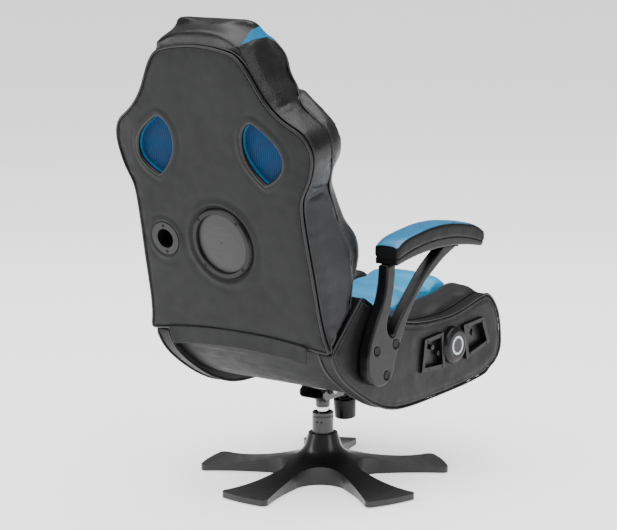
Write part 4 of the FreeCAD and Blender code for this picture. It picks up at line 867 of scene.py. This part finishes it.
def make_front_piping(core):
    """Piping round the gusset's front edge, where rays from the front meet it."""
    tree = BVHTree.FromObject(core, bpy.context.evaluated_depsgraph_get())
    ray = (BACK.to_3x3() @ Vector((0, 1, 0))).normalized()
    front = []
    for point in shifted(outline, -outward(outline) * 0.006, -0.9):
        hit = tree.ray_cast(BACK @ point, ray)
        if hit[0] and point.z > 0.06:
            front.append(UPRIGHT @ hit[0])
    gaps = [(front[index] - front[index - 1]).length for index in range(len(front))]
    start = gaps.index(max(gaps))
    front = relaxed(front[start:] + front[:start], 14, closed=False)
    front = [Vector((p.x * 1.012, p.y - 0.001, p.z)) for p in front]
    tube("front_piping", [BACK @ p for p in front], 0.0030, "piping", "backrest")


def make_gusset():
    core = remesh(cad_copy("back_core", "back_gusset", "head_cushion"), 0.0055, 7)

    def joint(points):
        points = upright(points)
        top = smoothstep(points[:, 2], 0.600, 0.655) * smoothstep(-points[:, 1], 0.030, 0.055)
        waist = hump(points[:, 2], 0.570, 0.035) * smoothstep(-points[:, 1], 0.060, 0.090)
        return np.maximum(top * smoothstep(points[:, 1], -0.150, -0.120), waist)
    soften(core, 60, joint)
    inflate(core, 0.003, 2.0, 0.001)
    line = nearest([outline])

    def change(points, normals):
        sides = np.abs(normals[:, 0]) > 0.35
        seam = hump(leaned(points)[:, 2], COVER_SEAM, 0.0045)
        fold = ripples(line(points)[1], 42, 8.1, 4.0)
        near = hump(points[:, 1], -0.03, 0.03)
        push = -0.0022 * seam + 0.0012 * fold * near + lumps(points, 9, 5) * 0.0012
        top = (points[:, 2] > 0.655) & (normals[:, 2] > 0.2)
        groove = hump(seam_side(points), 0, 0.004) * top
        points += normals * (push * sides - 0.0022 * groove)[:, None]
        wide, tall = (np.abs(points[:, 0]) - 0.148) / 0.050, (points[:, 2] - 0.446) / 0.080
        behind_vent = np.exp(-(wide ** 4 + tall ** 4))
        points[:, 1] -= 0.010 * behind_vent * smoothstep(points[:, 1], -0.030, -0.012)
        points = neck(crest(points), 0.018)
        rear = smoothstep(-points[:, 1], 0.030, 0.075) * smoothstep(points[:, 1], -0.150, -0.110)
        points[:, 2] += 0.003 * rear * smoothstep(points[:, 2], 0.63, 0.67)
        front = smoothstep(-points[:, 1], 0.100, 0.130)
        corners = 0.002 + 0.018 * smoothstep(np.abs(points[:, 0]), 0.06, 0.15)
        points[:, 2] -= front * smoothstep(points[:, 2], 0.60, 0.71) * corners
        return points
    back_shape(core, change)
    cover_gusset(core)
    place(core, "back_core", "head_cushion")
    make_front_piping(core)


# The cushions: CAD node, piece, cover, voxel size and the most that the cloth may swell.
CUSHIONS = (("back_cushion", "back_pad", "blue", 0.0055, 0.006),
            ("back_bolster_left", "back_wing_left", "black", 0.0055, 0.006),
            ("back_bolster_right", "back_wing_right", "black", 0.0055, 0.006),
            ("seat_cushion", "seat_pad", "blue", 0.0050, 0.005),
            ("seat_bolster_left", "seat_wing_left", "black", 0.0050, 0.006),
            ("seat_bolster_right", "seat_wing_right", "black", 0.0050, 0.006),
            ("seat_front_pad", "seat_nose", "black", 0.0050, 0.003))


def make_cushions():
    for number, (node, name, key, voxel, cap) in enumerate(CUSHIONS):
        obj = remesh(cad_copy(node, name), voxel, 2)
        inflate(obj, cap, 4.0, 0.003)
        points, normals = points_of(obj), normals_of(obj)
        soft = lumps(points, 11, number + 3) * 0.0012 + lumps(points, 31, number + 9) * 0.0004
        points += normals * soft[:, None]
        across = np.abs(points[:, 0])
        if name == "seat_pad":
            points[:, 2] -= 0.009 * smoothstep(across, 0.080, 0.112) * smoothstep(normals[:, 2], -0.2, 0.4)
        if name.startswith("seat_wing"):
            points[:, 2] += 0.012 * smoothstep(-across, -0.165, -0.120) * smoothstep(normals[:, 2], 0.0, 0.6)
        if name.startswith("back_wing"):
            points = upright(points)
            points[:, 2] += 0.010 * smoothstep(points[:, 2], 0.50, 0.55)
            points = leaned(neck(points, 0.013))
        set_points(obj, points)
        dress(shade(obj), key)
        place(obj, node)


# Side panels
def make_side_panel(side):
    name = side_name(side)
    node = f"side_panel_{name}"
    panel = remesh(cad_copy(node, f"side_cover_{name}"), 0.0040, 3)
    lines = face_loops(node, Matrix(), lambda normal, centre: normal.x * side > 0.9 and abs(centre.x) > 0.249)
    step = 0.006
    edge = relaxed(resample(lines[0], step, True), 2)
    tree = kdtree.KDTree(len(edge))
    for index, point in enumerate(edge):
        tree.insert((0, point.y, point.z), index)
    tree.balance()
    points, normals = points_of(panel), normals_of(panel)
    found = [tree.find((0, p[1], p[2])) for p in points]
    gap = np.array([item[2] for item in found])
    along = np.array([item[1] for item in found]) * step
    face = smoothstep(points[:, 0] * side, 0.241, 0.249)
    clear = smoothstep(np.hypot((points[:, 1] - PANEL_Y) / 1.75, points[:, 2] - HUB_Z), 0.075, 0.11)
    crown = 0.0035 * (1 - np.exp(-gap / 0.03)) * clear - 0.002 * np.exp(-gap / 0.006)
    pucker = ripples(along, 60, 1.7, 9.0) * 0.0007 * hump(gap, 0.010, 0.010)
    soft = (lumps(points, 8, 21) * 0.0014 + lumps(points, 24, 22) * 0.0003) * clear
    seam = -0.0012 * hump(gap, 0.013, 0.0025)
    points[:, 0] += side * face * (crown + pucker + soft + seam)
    set_points(panel, points)
    dress(shade(panel), "panel")
    place(panel, node)
    sense = outward(edge, 1)

    def ring(out, x):
        return relaxed(shifted(edge, sense * out, x * side, 1), 2)
    tube(f"side_piping_{name}", ring(0.0006, 0.2488), 0.0027, "piping", "seat", closed=True)
    tube(f"side_inner_piping_{name}", ring(0.0004, 0.2165), 0.0025, "piping", "seat", closed=True)
    stitches(f"side_stitch_{name}", ring(-0.0085, 0.2506), "thread", "seat")


# Arms
def make_fork(name, side):
    """The arm's frame: its outlines filled to its thickness, with a round rim."""
    node = f"arm_frame_{name}"
    outer_x = 0.2845
    lines = face_loops(node, Matrix(),
                       lambda normal, centre: normal.x * side > 0.9 and abs(centre.x) > outer_x)
    low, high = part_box(node)
    data = bpy.data.curves.new(f"arm_fork_{name}", "CURVE")
    data.dimensions = "2D"
    data.fill_mode = "BOTH"
    data.extrude = (high.x - low.x) / 2 - FORK_RIM
    data.bevel_depth = FORK_RIM
    data.bevel_resolution = 5
    data.offset = -FORK_RIM
    for line in lines:
        if len(line) >= 5:
            add_spline(data, [(point.y, point.z, 0) for point in resample(line, 0.004, True)], True)
    flat = link(f"arm_fork_flat_{name}", data)
    graph = bpy.context.evaluated_depsgraph_get()
    mesh = bpy.data.meshes.new_from_object(flat.evaluated_get(graph))
    bpy.data.objects.remove(flat)
    middle = (low.x + high.x) / 2
    mesh.transform(Matrix(((0, 0, 1, middle), (1, 0, 0, 0), (0, 1, 0, 0), (0, 0, 0, 1))))
    fork = link(f"arm_fork_{name}", mesh)
    work = bmesh.new()
    work.from_mesh(mesh)
    bmesh.ops.remove_doubles(work, verts=work.verts, dist=1e-5)
    bmesh.ops.recalc_face_normals(work, faces=work.faces)
    work.to_mesh(mesh)
    work.free()
    modify(fork, "WEIGHTED_NORMAL", weight=80)
    shade(fork)
    dress(bake(fork), "moulded")
    shade(fork)
    place(fork, node)


def pad_section(centre, half, floor, top, y, wide, tall, rough):
    """One section of the arm pad: a squarish oval with a slight crown."""
    crown_height = 0.0035
    power = 2 / PAD_SQUARENESS
    ring = []
    for step in range(PAD_SIDES):
        turn = 2 * math.pi * (step + 0.5) / PAD_SIDES
        across, up = math.cos(turn), math.sin(turn)
        u = math.copysign(abs(across) ** power, across)
        v = math.copysign(abs(up) ** power, up)
        crown = crown_height * (1 - u * u) if v > 0 else 0
        ripple = noise.noise(Vector((u, y * 55, v * 1.5))) * 0.0007 * rough if abs(u) > 0.9 else 0
        uneven = noise.noise(Vector((u * 2, y * 22, 4.0))) * 0.0008 * rough
        x = centre + (u * half * 0.985 + math.copysign(ripple, u)) * wide
        z = (floor + top) / 2 + v * (top - floor) / 2 * tall + crown + uneven - crown_height
        ring.append(Vector((x, y, z)))
    return ring


def make_rest(name):
    """The arm pad, lofted along the arm: upright dark sides, a crowned blue top, squared ends."""
    node = f"arm_pad_{name}"
    low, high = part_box(node)
    tree = BVHTree.FromObject(NODES[node], bpy.context.evaluated_depsgraph_get())
    centre, half = (low.x + high.x) / 2, (high.x - low.x) / 2
    stations = np.linspace(low.y + PAD_END, high.y - PAD_END, PAD_STATIONS)
    tops = np.array([tree.ray_cast(Vector((centre, y, 1)), Vector((0, 0, -1)))[0].z for y in stations])
    floors = np.array([tree.ray_cast(Vector((centre, y, 0)), Vector((0, 0, 1)))[0].z for y in stations])
    for _ in range(6):
        for heights in (tops, floors):
            heights[1:-1] = (heights[:-2] + 2 * heights[1:-1] + heights[2:]) / 4
    places = [(low.y, 0.86, 0.80), (low.y + 0.0015, 0.96, 0.93), *((y, 1, 1) for y in stations),
              (high.y - 0.0015, 0.975, 0.955), (high.y, 0.90, 0.86)]

    def rings(rough):
        return [pad_section(centre, half, np.interp(y, stations, floors),
                            np.interp(y, stations, tops) + PAD_RISE, y, wide, tall, rough)
                for y, wide, tall in places]
    top_steps = [step for step in range(PAD_SIDES) if math.sin(2 * math.pi * (step + 1) / PAD_SIDES) > 0.62]
    work = bmesh.new()
    loops = [[work.verts.new(spot) for spot in ring] for ring in rings(1)]
    for one, two in zip(loops, loops[1:]):
        for step, face in enumerate(bridge(work, one, two)):
            face.material_index = 0 if step in top_steps else 1
    for ring in (loops[0][::-1], loops[-1]):
        cap = work.faces.new(ring)
        cap.material_index = 1
        for face in bmesh.ops.inset_region(work, faces=[cap], thickness=0.006, depth=0.001)["faces"]:
            face.material_index = 1
    bmesh.ops.recalc_face_normals(work, faces=work.faces)
    pad = link(f"arm_rest_{name}", mesh_from(work, f"arm_rest_{name}", "arm_blue", "arm_side"))
    modify(pad, "SUBSURF", levels=1, render_levels=1)
    place(shade(bake(pad)), node)
    for number, step in enumerate((top_steps[0], top_steps[-1] + 1)):
        line = [ring[step] for ring in rings(0)]
        tube(f"arm_seam_{name}_{number}", line, 0.0009, "dark_thread", "seat", sides=1)


def make_arm(side):
    name = side_name(side)
    make_fork(name, side)
    moulded(f"arm_pad_base_{name}", 0.0022, 5, "moulded", f"arm_shell_{name}")
    make_rest(name)


# The piping of the blue centre
def laid_line(piece, matrix, starts, direction):
    """Where rays from upright or world points meet a piece, as a line in the world."""
    tree = BVHTree.FromObject(piece, bpy.context.evaluated_depsgraph_get())
    ray = (matrix.to_3x3() @ Vector(direction)).normalized()
    found = []
    for start in starts:
        hit = tree.ray_cast(matrix @ Vector(start), ray)
        if hit[0]:
            found.append(hit[0] + ray * PIPING_SINK)
    return found


def make_centre_seams():
    for side in (-1, 1):
        x = side * CENTRE_PROBE
        seat_starts = [(x, y / 1000, 0.9) for y in range(-355, 142, 6)]
        back_starts = [(x, -0.6, z / 1000) for z in range(60, 545, 6)]
        for part, body, matrix, starts, ray in (("seat", "seat", Matrix(), seat_starts, (0, 0, -1)),
                                                ("back", "backrest", BACK, back_starts, (0, 1, 0))):
            line = laid_line(bpy.data.objects[f"{part}_pad"], matrix, starts, ray)
            line = [Vector((side * CENTRE_HALF, p.y, p.z)) for p in relaxed(line, 4, closed=False)]
            tube(f"{part}_centre_piping_{side_name(side)}", line, 0.0026, "piping", body)


# Moulded, pressed and turned parts: CAD node, width of its rounded edges, and the angle that is an edge
HARD_PARTS = (("tilt_housing", 0.0016, 32), ("seat_plate", 0.0012, 32), ("speaker_bezel", 0.0010, 30),
              ("bass_port", 0.0012, 30), ("post_collar", 0.0012, 30), ("arm_bolts", 0.0010, 30),
              ("arm_spacers", 0.0008, 30), ("floor_glides", 0.0010, 30), ("volume_knob", 0.0008, 30),
              ("bass_knob", 0.0008, 30), ("power_switch", 0.0006, 30), ("control_plates", 0.0004, 30),
              ("audio_jack", 0.0004, 30))


def make_bezel():
    """The control panel's frames are a lighter grey than its hub and recesses: painted light on their lit
    rims.
    """
    bezel = hard("control_bezel", 0.0018, 3, 28, material="bezel")
    bezel.data.materials.append(MAT["moulded"])
    for face in bezel.data.polygons:
        in_hub = math.hypot(face.center.y - HUB_Y, face.center.z - HUB_Z) < HUB_RADIUS
        face.material_index = 1 if in_hub or face.center.x > RECESS_X else 0


def make_hardware():
    hard("star_base", 0.0030, 4, 30, material="base")
    make_bezel()
    for node, width, angle in HARD_PARTS:
        hard(node, width, 3, angle)


def make_underside():
    cover = hard("underside_cover", 0.0012, 2, 30, "under_cloth", "slate")
    modify(cover, "TRIANGULATE")
    bake(cover)
    shade(cover)


def make_flap():
    flap = remesh(cad_copy("rear_flap", "rear_flap_cloth"), 0.0016, 2)

    def change(points, normals):
        wave = lumps(points * np.array([1.0, 0.0, 0.4]), 16, 51) * 0.0016
        lower = smoothstep(-points[:, 2], 0.0, 0.03)
        ends = smoothstep(np.abs(points[:, 0]), 0.17, 0.198)
        points[:, 1] += 0.001 + np.abs(wave) * (0.3 + lower) + 0.002 * ends
        return points
    back_shape(flap, change)
    dress(shade(flap), "slate")
    place(flap, "rear_flap")


def make_spring():
    """The tilt spring, given a mesh of its own."""
    spring = cad_copy("tilt_spring", "tilt_coil")
    dress(shade(spring), "paint")
    place(spring, "tilt_spring")
    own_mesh(spring)


# Floor, lights and camera
def make_stage():
    data = bpy.data.meshes.new("floor")
    corners = [(x * FLOOR_REACH, y * FLOOR_REACH, 0) for x, y in ((-1, -1), (1, -1), (1, 1), (-1, 1))]
    data.from_pydata(corners, [], [(0, 1, 2, 3)])
    floor = link("floor", data)
    paper = Nodes("studio_floor", (0.86, 0.86, 0.86), 0.9, specular=0.1)
    paper.relief(paper.noise(40, 2), 0.02, 0.001)
    paper.put("Emission Color", (1, 1, 1, 1))
    paper.put("Emission Strength", FLOOR_GLOW)
    data.materials.append(paper.material)
    world = bpy.data.worlds.new("studio")
    bpy.context.scene.world = world
    world.use_nodes = True
    tree = world.node_tree
    tree.nodes["Background"].inputs["Color"].default_value = (1.0, 1.0, 1.0, 1)
    strength = tree.nodes.new("ShaderNodeMapRange")
    strength.inputs["To Min"].default_value = WORLD_LIGHT
    strength.inputs["To Max"].default_value = WORLD_SEEN
    tree.links.new(tree.nodes.new("ShaderNodeLightPath").outputs["Is Camera Ray"], strength.inputs["Value"])
    tree.links.new(strength.outputs["Result"], tree.nodes["Background"].inputs["Strength"])


def area_light(name, place, target, size, power):
    data = bpy.data.lights.new(name, "AREA")
    data.shape = "RECTANGLE"
    data.size, data.size_y = size
    data.energy = power
    obj = link(name, data)
    obj.location = place
    obj.rotation_euler = (Vector(target) - Vector(place)).to_track_quat("-Z", "Y").to_euler()


def make_camera():
    data = bpy.data.cameras.new("camera")
    data.sensor_width = 36.0
    data.sensor_fit = "HORIZONTAL"
    data.lens = FOCAL * data.sensor_width / PHOTO_WIDTH
    data.clip_end = 60
    camera = link("camera", data)
    matrix = Matrix.Identity(4)
    for column, axis in enumerate((RIGHT, UP, -FORWARD)):
        for row in range(3):
            matrix[row][column] = axis[row]
    matrix.translation = EYE
    camera.matrix_world = matrix
    bpy.context.scene.camera = camera


make_rear_cover()
make_back_piping()
vent_meshes = make_vents()
make_gusset()
make_cushions()
make_centre_seams()
for side in (-1, 1):
    make_side_panel(side)
    make_arm(side)
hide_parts("vent_meshes")
make_hardware()
make_underside()
make_flap()
make_spring()
make_stage()
make_camera()
area_light("top_softbox", place=(-0.3, 0.5, 4.6), target=(0, 0, 0.6), size=(6.0, 6.0), power=480)
area_light("left_softbox", place=(3.0, 3.4, 2.3), target=(0, 0.2, 0.6), size=(1.4, 2.6), power=75)
area_light("right_softbox", place=(-4.2, 0.2, 2.0), target=(0, 0, 0.5), size=(1.2, 2.6), power=48)
